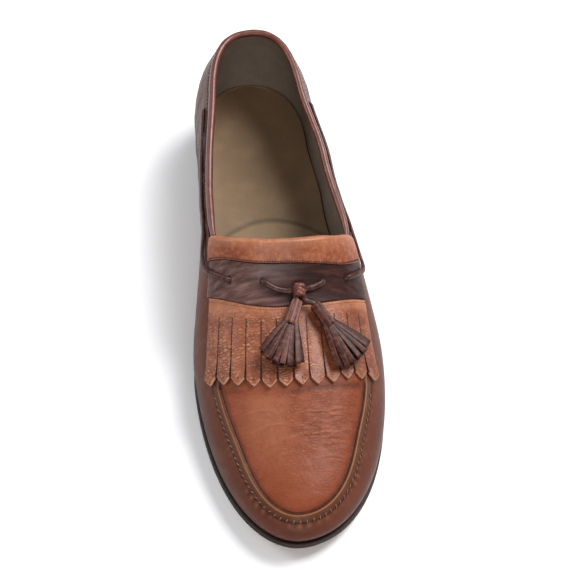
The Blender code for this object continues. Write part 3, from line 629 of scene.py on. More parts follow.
def from_groove(points, outside):
    """(distance from the groove, run along it) in mm: the gap to the nearest groove point, split into the
    part along the groove and the rest. The distance is negative on the plug."""
    flat = points.reshape(-1, 3)
    nearest = np.empty(len(flat), int)
    for start in range(0, len(flat), 4000):
        part = flat[start:start + 4000]
        nearest[start:start + 4000] = ((part[:, None] - groove[None, ::3])**2).sum(-1).argmin(1)*3
    gap = flat - groove[nearest]
    ahead_of = (gap*groove_along[nearest]).sum(1)
    away = np.linalg.norm(gap - groove_along[nearest]*ahead_of[:, None], axis=1)
    sign = np.where(outside.ravel(), 1, -1)
    shape = points.shape[:-1]
    return (sign*away*1000).reshape(shape), ((groove_run[nearest] + ahead_of)*1000).reshape(shape)


outside = np.abs(p_upper) > seam_p(s_upper)[None, :]
seam_mm, run_mm = from_groove(base, outside)
half_run = groove_run[-1]*500
toe_share = 1 - np.clip(np.abs(run_mm - half_run)/half_run, 0, 1)
print("groove", round(2*half_run), "mm long")

# %% [markdown]
# The wall is gathered and sewn to the plug by hand. That leaves a groove, a rounded ridge beside it, a crease
# at the ridge's foot, and small pleats that are strongest round the toe. Each is a short wave of the distance
# from the groove; a pleat is also a wave of the run along it. All fade out under the flap.

# %% Ridge, groove and pleats
covered = ease((s_upper + 0.0625)/0.007)[None, :]
ridge = 0.95*ease(seam_mm/1.9)*(1 - 0.80*ease((seam_mm - 1.7)/3.6))*(1 - ease((seam_mm - 5.0)/1.2))
relief = ridge - 0.45*np.exp(-((seam_mm + 0.10)/0.60)**2) - 0.26*np.exp(-((seam_mm - 5.7)/0.6)**2)
pleat = np.cos(2*np.pi*run_mm/4.3 + 0.6*np.sin(run_mm*0.13))*(0.7 + 0.6*mottle(run_mm, 0*run_mm, 9.0, 2))
pleat_height = 0.13*np.exp(-((seam_mm - 6.8)/1.9)**2) + 0.07*np.exp(-((seam_mm - 3.4)/1.4)**2)
at_toe = 0.35 + 0.65*ease(toe_share*1.6 - 0.1)
relief = relief + pleat*pleat_height*at_toe
relief = relief*(1 - covered)
# Pleat tops are painted paler, as wear and painted highlight, and their valleys darker, as painted shade.
rub_and_painted_light = 0.45*pleat*np.exp(-((seam_mm - 7.0)/2.2)**2)*at_toe*(1 - covered)
print("seam relief from", relief.min().round(2), "to", relief.max().round(2), "mm")

# %% [markdown]
# A foot bends at the ball, and there the plug creases across, mostly on the outer side. The main creases are
# listed one by one: each is a soft trough with a ridge just behind it, 0.55 of its depth high, that wanders a
# little and fades to its ends. Painted shade darkens what lies low, and what stands up is painted paler, as
# wear and highlight.

# %% Creases and grain of the plug
# (place across, a station 14 mm behind the crease, length, bend, depth), in mm
PLUG_CREASES = [
    (2, -86, 30, 0.10, 0.16), (14, -91, 22, 0.12, 0.13), (-12, -80, 22, -0.1, 0.11),
    (10, -99, 26, 0.14, 0.10), (20, -72, 18, 0.22, 0.15), (-20, -71, 16, -0.2, 0.10),
    (22, -84, 15, 0.25, 0.12), (4, -74, 24, 0.05, 0.12),
    (-6, -96, 20, 0.0, 0.05), (12, -106, 20, 0.1, 0.05), (26, -78, 12, 0.3, 0.10), (6, -80, 16, 0.1, 0.10),
    (12, -88, 18, 0.10, 0.11), (16, -94, 16, 0.12, 0.10), (18, -76, 14, 0.2, 0.09), (8, -83, 18, 0.08, 0.09),
]
x_mm, y_mm = base[..., 0]*1000, base[..., 1]*1000
for place, station, length, bend, depth in PLUG_CREASES:
    along_crease = (x_mm - place)/(length/2)
    off_crease = y_mm - (station - 14) - bend*(x_mm - place) + 1.5*along_crease**2
    off_crease = off_crease + 0.5*mottle(x_mm, 0*x_mm + station, 4.0, 6)
    wave = off_crease/0.65
    fold = np.exp(-wave**2) - 0.55*np.exp(-(wave - 1.8)**2)
    relief = relief - depth*fold*np.exp(-along_crease**2)
    # Painted shade in the trough, and a paler ridge behind it, as wear and painted highlight.
    rub_and_painted_light = rub_and_painted_light - depth*(2.2*np.exp(-wave**2) - 5.0*np.exp(-(wave - 1.8)**2))*np.exp(-along_crease**2)
plug_share = 1 - ease((seam_mm + 3)/3)
relief = relief + 0.10*mottle(x_mm, y_mm*1.8, 6.0, 3)*plug_share*(1 - covered)
grain = 0.5*mottle(x_mm + 0.5*y_mm, y_mm, 1.5, 4) + 0.5*mottle(x_mm - 0.6*y_mm, y_mm*1.3, 1.9, 5)
grain_share = plug_share*np.exp(-((x_mm - 12)/22)**2 - ((y_mm + 92)/22)**2)
relief = relief + (0.05 + 0.10*grain_share)*grain*plug_share*(1 - covered)
# High grain is painted paler, as wear and painted highlight, and low grain darker, as painted shade.
rub_and_painted_light = rub_and_painted_light + (0.10 + 0.30*grain_share)*grain*plug_share
print(len(PLUG_CREASES), "creases across the plug")

# %% [markdown]
# The quarters behind the ball have long soft folds that lean with the pull of the foot, with a painted sheen
# on their tops and painted shade between them. The medial side of the plug gets a painted sheen, a painted
# shadow lies in front of the fringe's tips, and the leather dips where the sole's stitches pull it in. Then
# the base, pushed out along its normals by the relief, is the leather.

# %% Folds of the quarters
z_mm = base[..., 2]*1000
wall_share = ease((s_upper - 0.004)/0.03)[None, :]*ease((z_mm - 26)/12)*(1 - ease((z_mm - 66)/8))
lean = y_mm - 0.35*z_mm
streak = 0.65*mottle(lean, z_mm*0.30, 5.0, 8) + 0.35*mottle(lean, z_mm*0.5, 2.2, 9)
relief = relief + 0.5*wall_share*streak
# Painted sheen on the folds' tops and painted shade between them.
rub_and_painted_light = rub_and_painted_light + 0.17*wall_share*streak
# Painted sheen on the medial side of the plug.
rub_and_painted_light = rub_and_painted_light + 0.80*plug_share*np.exp(-((x_mm + 19)/13)**2 - ((y_mm + 86)/26)**2)
# Painted shadow of the fringe's tips, on the plug just in front of them.
rub_and_painted_light = rub_and_painted_light - 0.60*plug_share*np.exp(-((s_upper[None, :] + 0.0618)/0.0026)**2)
rub_and_painted_light = np.clip(rub_and_painted_light, -1, 1)
relief = relief - 0.35*np.exp(-((1 - np.abs(p_upper))/0.02)**2)
upper_points = base + bare_normal*(relief/1000)[..., None]
print("relief from", relief.min().round(2), "to", relief.max().round(2), "mm")

# %% [markdown]
# At the toe and the heel the two feather lines meet, so the first and the last row of points are made equal
# from both sides and the seam closes. Faces over the collar's opening are left out.

# %% Upper leather


def closed_ends(points):
    """Points whose first and last columns are the mean of themselves and their mirror, so that they close."""
    for end in (0, -1):
        points[:, end] = (points[:, end] + points[::-1, end])/2
    return points


upper_points = closed_ends(upper_points)
grid = np.swapaxes(upper_points, 0, 1)
rows, columns = grid.shape[:2]
keep = np.ones((rows - 1, columns - 1), bool)
keep[len(front) - 1:, len(medial_rows) - 1:columns - len(lateral_rows)] = False
quarter_mark = ease((s_upper + 0.010)/0.07)[:, None]*np.ones((1, columns))
under_flap = ease((s_upper + 0.0570)/0.006)[None, :]
seam_mark = np.where(outside, np.maximum(seam_mm, 12*under_flap), np.minimum(seam_mm, -8*under_flap))
grainy_mark = plug_share*(0.30 + 0.55*grain_share) + 0.85*wall_share
piece("upper_leather", grid, brown_calf, ["upper"],
      {"seam": seam_mark.T, "quarter": quarter_mark, "rub_and_painted_light": rub_and_painted_light.T, "grainy": grainy_mark.T}, keep=keep)

# %% [markdown]
# The inside shows through the collar. A loafer is lined with undyed goat, tanned soft and left matt: the eye
# sees a pale grey-brown with no shine, painted darker as the shade inside the shoe. It is the last again, one
# wall's thickness further in, with its faces turned to the foot.

# %% Lining of undyed goat


def lining_colour(tree, mm):
    """One pale colour with slow, faint patches."""
    # The goat's grey-brown is darkened here as painted shade inside the shoe.
    return worn_and_painted_light(tree, mm, "#786A5E", "#85776A", "#64574C", 9.0, 0.35), None


lining_leather = calf("undyed_lining_goat", lining_colour, 0.72, 0.0, 1.1, 0.05, 9.0, 0.08)
s_lining = np.concatenate([s_upper[:300:3], s_upper[300::2]])
share = np.linspace(0, 1, 26)[:, None]
medial_edge, lateral_edge = (wall_edge(s_lining, side)[None, :] for side in (-1, 1))
medial_wall = -(1 - share*(1 - medial_edge))
lateral_wall = lateral_edge + share*(1 - lateral_edge)
over = np.linspace(0, 1, 40)[1:-1, None]
roof = -medial_edge*(1 - over) + lateral_edge*over
p_lining = np.concatenate([medial_wall, roof, lateral_wall])
lining_points = closed_ends(skin(s_lining[None, :], p_lining, -WALL + 0.00002))
lining_grid = np.swapaxes(lining_points, 0, 1)[:, ::-1]
lining_keep = np.ones((lining_grid.shape[0] - 1, lining_grid.shape[1] - 1), bool)
lining_keep[100:, 25:-25] = False
piece("lining", lining_grid, lining_leather, keep=lining_keep)

# %% [markdown]
# The sole, the heel and the sock all lie between the two feather lines, moved a little in or out. So one
# function gives points across the shoe between them, at any station.

# %% Spans between the feather lines


def plan_line(y, side, out):
    """Points of the feather line, moved by out along its plan normal."""
    nx, ny = outward(y, side)
    return np.stack([side*half_width(y, side) + nx*out + AXIS_X, y + ny*out], -1)


def spans(y, out, shares):
    """Plan points at shares of the way from the medial to the lateral line: (stations, shares, 2)."""
    left, right = plan_line(y, -1, out), plan_line(y, 1, out)
    for end in (0, -1):
        left[end] = right[end] = (left[end] + right[end])/2
    return left[:, None] + (right - left)[:, None]*shares[None, :, None]


# %% [markdown]
# The sock is undyed calf glued on the insole, warmer and a little smoother than the lining. Feet have pressed
# it into a shallow cup, and a curved line of stitches holds its heel pad, drawn as a dark line in the colour.
# Solidify gives the sheet its thickness downwards.

# %% Sock of undyed calf
INSOLE_THICK = 0.0020


def sock_colour(tree, mm):
    """Along the mark pad, 0 to 1: the forefoot's tone, the stitched line at 0.5 and the heel pad's tone."""
    pad = add(tree, "ShaderNodeAttribute", {"attribute_name": "pad"}).outputs["Fac"]
    tone = add(tree, "ShaderNodeValToRGB", links={0: pad}, stops=[
        (0.0, "#8A7050"), (0.46, "#856B4D"), (0.5, "#58442F"), (0.54, "#7B6246"), (1.0, "#765D43"),
    ]).outputs["Color"]
    return worn_and_painted_light(tree, mm, tone, "#96795A", "#6B543C", 14.0, 0.25), None


sock_leather = calf("undyed_sock_calf", sock_colour, 0.66, 0.0, 1.2, 0.04, 12.0, 0.06)

y_sock = -LENGTH/2 + LENGTH*(1 - np.cos(np.pi*np.linspace(0, 1, 160)))/2
sock_shares = np.linspace(0, 1, 41)
sock_plan = spans(y_sock[1:-1], -WALL - 2*GAP, sock_shares)
rim = 1 - np.abs(2*sock_shares - 1)
cup = 0.0008*(1 - ease(rim/0.25))[None, :]
sock_z = sole_top(sock_plan[..., 1]) + GAP + INSOLE_THICK - 0.0006 + cup*0.7
pad = 0.5 + ((sock_plan[..., 1] - 0.052)*1000 + 14*(2*sock_shares[None, :] - 1)**2)/60
sock = piece("insole_sock", np.concatenate([sock_plan, sock_z[..., None]], -1), sock_leather,
             ["insole"], {"pad": pad})
thicken(sock, 0.0014, -1, 0.0003)

# %% [markdown]
# Sole and heel are plates cut from thick leather. Each is a closed loop carried along the shoe: over the top
# from side to side, down the edge, back underneath and up the other edge. The edge's profile is a short
# table, so a trimmed, grooved or rounded edge costs nothing more. The heel's front is cut in a shallow bow.

# %% Closed plates
EDGE_ROUND = 0.0007
LIFT_THICK, HEEL_BREAST, BREAST_CURVE = 0.0060, 0.0736, 0.0040


def plate(y, height, edge, flat_shares, breast=0.0):
    """A closed plate, a ring of points at each station, and each point's share of the thickness.

    edge is a table of (shift out of the feather line, share), where share is 0 on the upper face and 1 on the
    lower one, and height(y, share) turns it into a height. breast moves the first ring back by 1 - x^2 of it
    and closes that end flat.
    """
    outs, shares = np.array(edge).T
    above, below = spans(y, outs[0], flat_shares), spans(y, outs[-1], flat_shares[::-1])
    sides = np.stack([spans(y, out, np.array([0.0, 1.0])) for out in outs[1:-1]], 2)
    plan = np.concatenate([above, sides[:, 1], below, sides[:, 0, ::-1]], 1)
    flat = np.ones(len(flat_shares))
    share = np.concatenate([flat*shares[0], shares[1:-1], flat*shares[-1], shares[1:-1][::-1]])
    if breast:
        across = (plan[0, :, 0] - plan[0, :, 0].mean())/(np.ptp(plan[0, :, 0])/2)
        plan[0, :, 1] = y[0] + breast*(1 - across**2)
    points = np.concatenate([plan, height(plan[..., 1], share[None, :])[..., None]], -1)
    if breast:
        cap = points[:1].copy()
        cap[..., 2] = points[0, :, 2].mean()
        points = np.concatenate([cap, points])
    return points, np.broadcast_to(share[None, :], points.shape[:2])


# %% [markdown]
# The outsole is bend leather, hard and dense. Its edge is trimmed, blacked and burnished with hot wax, so the
# eye sees a nearly black line with a faint shine, and its underside stays natural, scuffed where it treads.

# %% Outsole of blacked bend leather


def edge_colour(tree, mm):
    """Black down the edge, and natural leather where the mark depth reaches 1, on the underside."""
    depth = add(tree, "ShaderNodeAttribute", {"attribute_name": "depth"}).outputs["Fac"]
    tone = add(tree, "ShaderNodeValToRGB", links={0: depth}, stops=[
        (0.0, "#221712"), (0.86, "#1E1410"), (0.985, "#2A1C14"), (1.0, "#8A6548"),
    ]).outputs["Color"]
    return worn_and_painted_light(tree, mm, tone, "#43301F", "#140C08", 6.0, 0.25), None


def sole_height(y, share):
    """A share of the sole's thickness under its upper face."""
    return sole_top(y) - SOLE_THICK*share


sole_leather = calf("blacked_bend_leather", edge_colour, 0.50, 0.0, 1.4, 0.06, 8.0, 0.06, 0.25)
y_sole = -LENGTH/2 + LENGTH*(1 - np.cos(np.pi*np.linspace(0, 1, 300)))/2
sole_profile = [(-0.0006, 0.0), (0.0011, 0.0), (0.0016, 0.05), (SOLE_EDGE, 0.16), (SOLE_EDGE, 0.30),
                (0.0013, 0.36), (SOLE_EDGE, 0.42), (0.00185, 0.62), (SOLE_EDGE, 0.84), (0.0015, 0.94),
                (SOLE_EDGE - EDGE_ROUND, 1.0), (-0.0030, 1.0), (-0.0036, 1.0)]
sole_points, sole_depth = plate(y_sole, sole_height, sole_profile, np.linspace(0, 1, 19))
piece("outsole_leather", sole_points, sole_leather, ["outsole"], {"depth": sole_depth},
      wrap=True)

# %% [markdown]
# The heel is a stack of leather lifts 3 mm thick, pegged and dyed dark, which shows as thin darker lines
# round it: a wave texture in height does that. A Wave node repeats every 2 pi/20 of its scale, so the scale
# is 2 pi/(20 x 3 mm). Under it lies a top piece of moulded rubber, nearly black and dull.

# %% Heel of stacked leather and rubber
LIFT_MM = 3.0


def stack_colour(tree, mm):
    """Dyed lifts with a thin darker line between them: a wave that repeats every LIFT_MM of height."""
    wave = add(tree, "ShaderNodeTexWave",
               {"bands_direction": "Z", "Scale": 2*np.pi/(LIFT_MM*20), "Distortion": 0.4}, {"Vector": mm})
    return add(tree, "ShaderNodeValToRGB", links={0: wave.outputs["Fac"]},
               stops=[(0.0, "#1C1512"), (0.12, "#33251F"), (1.0, "#3D2C24")]).outputs["Color"], None


def rubber_colour(tree, mm):
    """Near black with faint patches of dust."""
    noise = add(tree, "ShaderNodeTexNoise", {"Scale": 0.4}, {"Vector": mm})
    return add(tree, "ShaderNodeValToRGB", links={0: noise.outputs[0]},
               stops=[(0.0, "#181716"), (1.0, "#242220")]).outputs["Color"], None


def stack_height(y, share):
    """From the outsole's heel seat down to the top piece, level."""
    high, low = HEEL_HEIGHT - GAP, LIFT_THICK + GAP
    return high + (low - high)*share + 0*y


def lift_height(y, share):
    """From the stack down to the floor, level."""
    return LIFT_THICK*(1 - share) + 0*y


heel_leather = calf("stacked_heel_leather", stack_colour, 0.44, 0.1, 1.4, 0.05, 8.0, 0.05)
top_piece_rubber = calf("moulded_rubber", rubber_colour, 0.68, 0.0, 1.0, 0.05, 9.0, 0.05)
y_heel = HEEL_BREAST + (LENGTH/2 - HEEL_BREAST)*np.sin(np.pi/2*np.linspace(0, 1, 90))
stack_profile = [(SOLE_EDGE - 0.0009, 0.0), (SOLE_EDGE - 0.0005, 0.03), (SOLE_EDGE - 0.0005, 0.3),
                 (SOLE_EDGE - 0.0008, 0.6), (SOLE_EDGE - 0.0010, 0.97), (SOLE_EDGE - 0.0014, 1.0)]
lift_profile = [(SOLE_EDGE - 0.0014, 0.0), (SOLE_EDGE - 0.0011, 0.06), (SOLE_EDGE - 0.0012, 0.5),
                (SOLE_EDGE - 0.0014, 0.93), (SOLE_EDGE - 0.0018, 1.0)]
heel_shares = np.linspace(0, 1, 15)
piece("heel_stack_leather", plate(y_heel, stack_height, stack_profile, heel_shares, BREAST_CURVE)[0],
      heel_leather, ["heel_stack"], wrap=True)
piece("heel_top_piece", plate(y_heel, lift_height, lift_profile, heel_shares, BREAST_CURVE)[0],
      top_piece_rubber, ["heel_lift"], wrap=True)

# %% [markdown]
# Laces, bindings and stitches are all profiles carried along a path. The path is first smoothed. Its frame
# stands up from the leather under it, so that a flat thong lies flat and its fold stays on top.

# %% Profiles along a path


def smooth_path(points, count):
    """Even points along a smooth curve through the given ones."""
    points = np.asarray(points, float)
    run = np.concatenate([[0], np.cumsum(np.linalg.norm(np.diff(points, axis=0), axis=1))])
    fine = np.linspace(0, run[-1], 1200)
    curve = np.stack([through(run, points[:, k], fine) for k in range(3)], -1)
    length = np.concatenate([[0], np.cumsum(np.linalg.norm(np.diff(curve, axis=0), axis=1))])
    at = np.linspace(0, length[-1], count)
    return np.stack([np.interp(at, length, curve[:, k]) for k in range(3)], -1), length[-1]


def unit(vectors):
    """Vectors divided by their length."""
    return vectors/np.linalg.norm(vectors, axis=-1, keepdims=True)


def sweep(path, stand, wide, thick, sides, squareness=2.0, ends=3):
    """A closed tube along the path: |x/wide|^n + |y/thick|^n = 1 in the frame whose up is near stand.

    wide and thick are half sizes, one number or one a point. The tube closes with rounded ends.
    """
    along = unit(np.gradient(path, axis=0))
    across = unit(np.cross(np.broadcast_to(stand, path.shape), along))
    above = np.cross(along, across)
    a = np.linspace(0, 2*np.pi, sides, endpoint=False)
    x = np.sign(np.cos(a))*np.abs(np.cos(a))**(2/squareness)
    y = np.sign(np.sin(a))*np.abs(np.sin(a))**(2/squareness)
    wide = np.broadcast_to(wide, len(path))[:, None, None]
    thick = np.broadcast_to(thick, len(path))[:, None, None]
    ring = path[:, None] + across[:, None]*x[None, :, None]*wide + above[:, None]*y[None, :, None]*thick
    caps = []
    for end, way in ((0, -1), (-1, 1)):
        turn = np.linspace(0, np.pi/2, ends + 1)[1:, None, None]
        small = min(float(wide[end, 0, 0]), float(thick[end, 0, 0]))
        reach = path[end] + along[end]*way*small*0.6*np.sin(turn)
        caps.append(reach + (ring[end][None] - path[end])*np.cos(turn))
    return np.concatenate([caps[0][::-1], ring, caps[1]])


# %% [markdown]
# A stitch is a thread that comes up, lies over the leather and goes down again: a short arch, thickest in its
# middle. Hundreds of them are one mesh, because one grid holds them row after row, and the faces that would
# join a stitch to the next are left out.

# %% Stitches


def stitches(points, along, stand, length, thick, sink=0.3):
    """Small threads, (stitches, 6 rings, 5 sides, 3): each an arch of sin(pi share) over its point, whose
    radius is (0.35 + 0.65 sin(pi share)) of half the thread's thickness."""
    share = np.linspace(0, 1, 6)
    arch = np.sin(np.pi*share)
    along, stand = unit(along), unit(stand)
    across = np.cross(stand, along)
    middle = (points[:, None] + along[:, None]*(share - 0.5)[None, :, None]*length
              + stand[:, None]*((arch - sink)*thick)[None, :, None])
    a = np.arange(5)/5*2*np.pi
    fat = (0.35 + 0.65*arch)*thick/2
    ring = (across[:, None, None]*np.cos(a)[None, None, :, None]
            + stand[:, None, None]*np.sin(a)[None, None, :, None])
    return middle[:, :, None] + ring*fat[None, :, None, None]


def stitch_piece(name, points, along, stand, length, thick, mat):
    """A piece with one closed tube of thread for each point."""
    grid = stitches(points, along, stand, length, thick)
    count, rows, sides = grid.shape[:3]
    flat = grid.reshape(count*rows, sides, 3)
    keep = np.ones((count*rows - 1, sides), bool)
    keep[rows - 1::rows] = False
    return piece(name, flat, mat, keep=keep, wrap=True)


# %% [markdown]
# The binding is thin oxblood calf with a glaze, so it has the clearest shine on the shoe and a red that shows
# in its highlights. The thread is linen drawn through wax: matt, and paler where the wax has rubbed off.

# %% Oxblood calf and waxed thread


def binding_colour(tree, mm):
    """Oxblood, paler and darker in patches of 5 mm."""
    return worn_and_painted_light(tree, mm, "#5A2A1E", "#7A4434", "#35160F", 5.0, 0.35), None


def thread_colour(tree, mm):
    """Natural linen, from its shaded to its lit brown within half a millimetre."""
    noise = add(tree, "ShaderNodeTexNoise", {"Scale": 2.0}, {"Vector": mm})
    return add(tree, "ShaderNodeValToRGB", links={0: noise.outputs[0]},
               stops=[(0.3, "#5A3A28"), (0.7, "#8E6A4E")]).outputs["Color"], None


def dark_thread_colour(tree, mm):
    """The same thread dyed dark."""
    noise = add(tree, "ShaderNodeTexNoise", {"Scale": 2.0}, {"Vector": mm})
    return add(tree, "ShaderNodeValToRGB", links={0: noise.outputs[0]},
               stops=[(0.3, "#220C07"), (0.7, "#451C12")]).outputs["Color"], None


oxblood_calf = calf("oxblood_binding_calf", binding_colour, 0.38, 0.20, 1.1, 0.05, 4.0, 0.10, 0.4)
seam_thread = calf("waxed_linen_thread", thread_colour, 0.6, 0.0, 0.5, 0.02, 2.0, 0.02)
dark_thread = calf("dark_waxed_thread", dark_thread_colour, 0.55, 0.0, 0.5, 0.02, 2.0, 0.02)

# %% [markdown]
# The strap is dark calf polished with a cloth along its length, so it has long faint streaks and a soft,
# wide sheen. Its medial part is painted paler, as a painted sheen from the medial side. The lace is the
# same calf, rolled.

# %% Polished strap calf and rolled thong


def dark_colour(tree, mm):
    """Two sets of streaks, stretched along the strap: the mark polished turns the dark ones into pale ones.
    The rim is pale where the mark end is under 1 mm, and a slot's mouth is nearly black."""
    stretch = add(tree, "ShaderNodeMapping", {"Scale": (0.12, 1.0, 0.4)}, {"Vector": mm})
    streak = add(tree, "ShaderNodeTexNoise", {"Scale": 1/2.0, "Detail": 3.0}, {"Vector": stretch.outputs[0]})
    tone = add(tree, "ShaderNodeValToRGB", links={0: streak.outputs[0]},
               stops=[(0.30, "#22100D"), (0.50, "#2E1713"), (0.70, "#40241F")])
    pale = add(tree, "ShaderNodeValToRGB", links={0: streak.outputs[0]},
               stops=[(0.30, "#4B322E"), (0.50, "#664A45"), (0.68, "#84655F")])
    # The pale streaks are a painted sheen, strongest on the medial part.
    painted_sheen = add(tree, "ShaderNodeAttribute", {"attribute_name": "painted_sheen"}).outputs["Fac"]
    both = add(tree, "ShaderNodeMixRGB", links={
        "Color1": tone.outputs["Color"], "Color2": pale.outputs["Color"], "Fac": painted_sheen})
    from_end = add(tree, "ShaderNodeAttribute", {"attribute_name": "end"}).outputs["Fac"]
    edge = add(tree, "ShaderNodeMapRange", {"From Min": 0.5, "From Max": 1.1, "To Min": 0.75, "To Max": 0.0},
               {"Value": from_end})
    rim = add(tree, "ShaderNodeMixRGB", {"Color2": linear("#8D7D74")},
              {"Color1": both.outputs[0], "Fac": edge.outputs[0]})
    # A slot's mouth is painted nearly black, as the shade inside the slot.
    from_slot = add(tree, "ShaderNodeAttribute", {"attribute_name": "slot"}).outputs["Fac"]
    hole = add(tree, "ShaderNodeMapRange", {"From Min": 0.7, "From Max": 1.5, "To Min": 1.0, "To Max": 0.0},
               {"Value": from_slot})
    return add(tree, "ShaderNodeMixRGB", {"Color2": linear("#140C0B")},
               {"Color1": rim.outputs[0], "Fac": hole.outputs[0]}).outputs[0], None


def thong_colour(tree, mm):
    """Dark brown with paler patches of 2.5 mm where it was rubbed."""
    noise = add(tree, "ShaderNodeTexNoise", {"Scale": 1/2.5, "Detail": 4.0}, {"Vector": mm})
    return add(tree, "ShaderNodeValToRGB", links={0: noise.outputs[0]},
               stops=[(0.30, "#2A1410"), (0.50, "#3A1E18"), (0.72, "#553229")]).outputs["Color"], None


strap_calf = calf("polished_dark_calf", dark_colour, 0.36, 0.14, 1.2, 0.03, 5.0, 0.10, 0.20)
thong_calf = calf("rolled_dark_thong", thong_colour, 0.36, 0.10, 0.9, 0.03, 3.0, 0.08, 0.2)

# %% [markdown]
# Band and flap are tan calf boarded until its grain breaks into small wrinkles. Painted shade darkens the
# valleys and a painted highlight, partly wear, pales the tops, so the eye reads a dry, warm, uneven surface.
# The cut edges at the tips show the pale middle of the hide, and slits and pinholes are painted dark, as
# the shade inside them.

# %% Grained tan calf


def tan_colour(tree, mm):
    """Tan, then in turn: pale tops, dark valleys, pale tips, dark slits and the pinhole above each tip."""
    noise = add(tree, "ShaderNodeTexNoise", {"Scale": 1/12.0, "Detail": 3.0}, {"Vector": mm})
    tone = add(tree, "ShaderNodeValToRGB", links={0: noise.outputs[0]},
               stops=[(0.32, "#743A24"), (0.50, "#82452B"), (0.68, "#905236")]).outputs["Color"]
    height, valley = crackle(tree, mm, 2.1)
    tone = worn_and_painted_light(tree, mm, tone, "#C08764", "#542716", 3.0, 0.25)
    # Painted shade in the grain's valleys and a painted highlight on its tops.
    deep = add(tree, "ShaderNodeMath", {"operation": "MULTIPLY", 1: 0.58}, {0: valley})
    lit = add(tree, "ShaderNodeMath", {"operation": "MULTIPLY", 1: 0.26}, {0: height})
    tops = add(tree, "ShaderNodeMixRGB", {"Color2": linear("#B98260")},
               {"Color1": tone, "Fac": lit.outputs[0]})
    grain_shade_and_highlight = add(tree, "ShaderNodeMixRGB", {"Color2": linear("#4A2012")},
                  {"Color1": tops.outputs[0], "Fac": deep.outputs[0]})
    from_tip = add(tree, "ShaderNodeAttribute", {"attribute_name": "tip"}).outputs["Fac"]
    tip = add(tree, "ShaderNodeMapRange", {"From Min": 0.05, "From Max": 0.40, "To Min": 0.62, "To Max": 0.0},
              {"Value": from_tip})
    pale = add(tree, "ShaderNodeMixRGB", {"Color2": linear("#C79A7C")},
               {"Color1": grain_shade_and_highlight.outputs[0], "Fac": tip.outputs[0]})
    # Painted shade along the slits.
    from_slit = add(tree, "ShaderNodeAttribute", {"attribute_name": "slit"}).outputs["Fac"]
    slit = add(tree, "ShaderNodeMapRange", {"From Min": 0.0, "From Max": 0.45, "To Min": 0.85, "To Max": 0.0},
               {"Value": from_slit})
    cut = add(tree, "ShaderNodeMixRGB", {"Color2": linear("#34150C")},
              {"Color1": pale.outputs[0], "Fac": slit.outputs[0]})
    # The pinhole is a dark dot of painted shade, as inside a hole.
    from_hole = add(tree, "ShaderNodeAttribute", {"attribute_name": "pinhole"}).outputs["Fac"]
    hole = add(tree, "ShaderNodeMapRange", {"From Min": 0.55, "From Max": 0.95, "To Min": 1.0, "To Max": 0.0},
               {"Value": from_hole})
    return add(tree, "ShaderNodeMixRGB", {"Color2": linear("#4A0C08")},
               {"Color1": cut.outputs[0], "Fac": hole.outputs[0]}).outputs[0], height


tan_calf = calf("grained_tan_calf", tan_colour, 0.42, 0.06, 1.2, 0.12, 3.0, 0.18, 0.30)
print("leathers:", oxblood_calf.name, strap_calf.name, thong_calf.name, tan_calf.name)

# %% [markdown]
# The moccasin seam is sewn by hand with close, even stitches. A stitch lies across the seam at the toe and
# slants more and more along the sides, because the needle goes in from the wall and the thread is pulled on.

# %% Hand-sewn stitches outside the ridge
SEAM_STITCH_PITCH, SEAM_STITCH_OUT = 0.0036, 0.0058    # run from stitch to stitch, distance from the groove
seam_s = -LENGTH/2 + 0.088*(1 - np.cos(np.pi/2*np.linspace(0.02, 1, 200)))
stitch_lines = []
for side in (-1, 1):
    edge = seam_p(seam_s)
    pace = np.linalg.norm(last(seam_s, side*(edge + 0.01)) - last(seam_s, side*edge), axis=1)/0.01
    stitch_lines.append(skin(seam_s, side*(edge + SEAM_STITCH_OUT/pace), 0.0))
line = np.concatenate([stitch_lines[0][::-1], stitch_lines[1]])
even_line, line_length = smooth_path(line[::4], 900)
count = int(line_length/SEAM_STITCH_PITCH)
at = np.linspace(0, 899, count).astype(int)[1:-1]
to_groove = ((even_line[at][:, None] - groove[None, ::3])**2).sum(-1).argmin(1)*3
inward = groove[to_groove] - even_line[at]
run_way = unit(np.gradient(even_line, axis=0))[at]
lift = unit(np.cross(run_way, inward))
lift = lift*np.sign(lift[:, 2:3])
along_side = ease((np.abs(even_line[at][:, 0:1] - AXIS_X) - 0.012)/0.016)
slant = unit(unit(inward)*(1 - 0.55*along_side) + (0.25 + 0.65*along_side)*run_way)
spots = even_line[at] + lift*0.00022 + unit(inward)*0.0006
stitch_piece("moccasin_stitches", spots, slant, lift, 0.0025, 0.00058, seam_thread)

# %% [markdown]
# The collar is bound with a strip of calf, rolled over the cut edge. In front it grows thinner and ends behind
# the folded band. It is one profile on one path: up the medial side, round the heel, back down.

# %% Rolled collar binding
TONGUE_THICK = 0.0015
END_HALF_WIDE, END_HALF_THICK, END_RUN = 0.0018, 0.0014, 0.014    # half sizes of its ends, and their length
bind_share = np.sin(np.pi/2*np.linspace(0, 1, 60))
s_bind = THROAT + TONGUE_THICK + WALL + 3*GAP + (LENGTH/2 - THROAT - 0.0042)*bind_share
branches, stands = [], []
for side in (-1, 1):
    p = side*wall_edge(s_bind, side)
    edge = skin(s_bind, p, -WALL/2)
    rise = unit(skin(s_bind, p - side*0.02, -WALL/2) - edge)
    collar = edge + rise*(BINDING/2 + 2*GAP)
    branches.append(collar)
    stands.append(normal(s_bind, p))
joint = (branches[0][-1] + branches[1][-1])/2
route = np.concatenate([branches[0][:-1], [joint], branches[1][:-1][::-1]])
stand = np.concatenate([stands[0][:-1], [stands[0][-1] + stands[1][-1]], stands[1][:-1][::-1]])
bind_path, bind_length = smooth_path(route, 420)
route_run = np.concatenate([[0], np.cumsum(np.linalg.norm(np.diff(route, axis=0), axis=1))])
new_run = np.linspace(0, route_run[-1], 420)
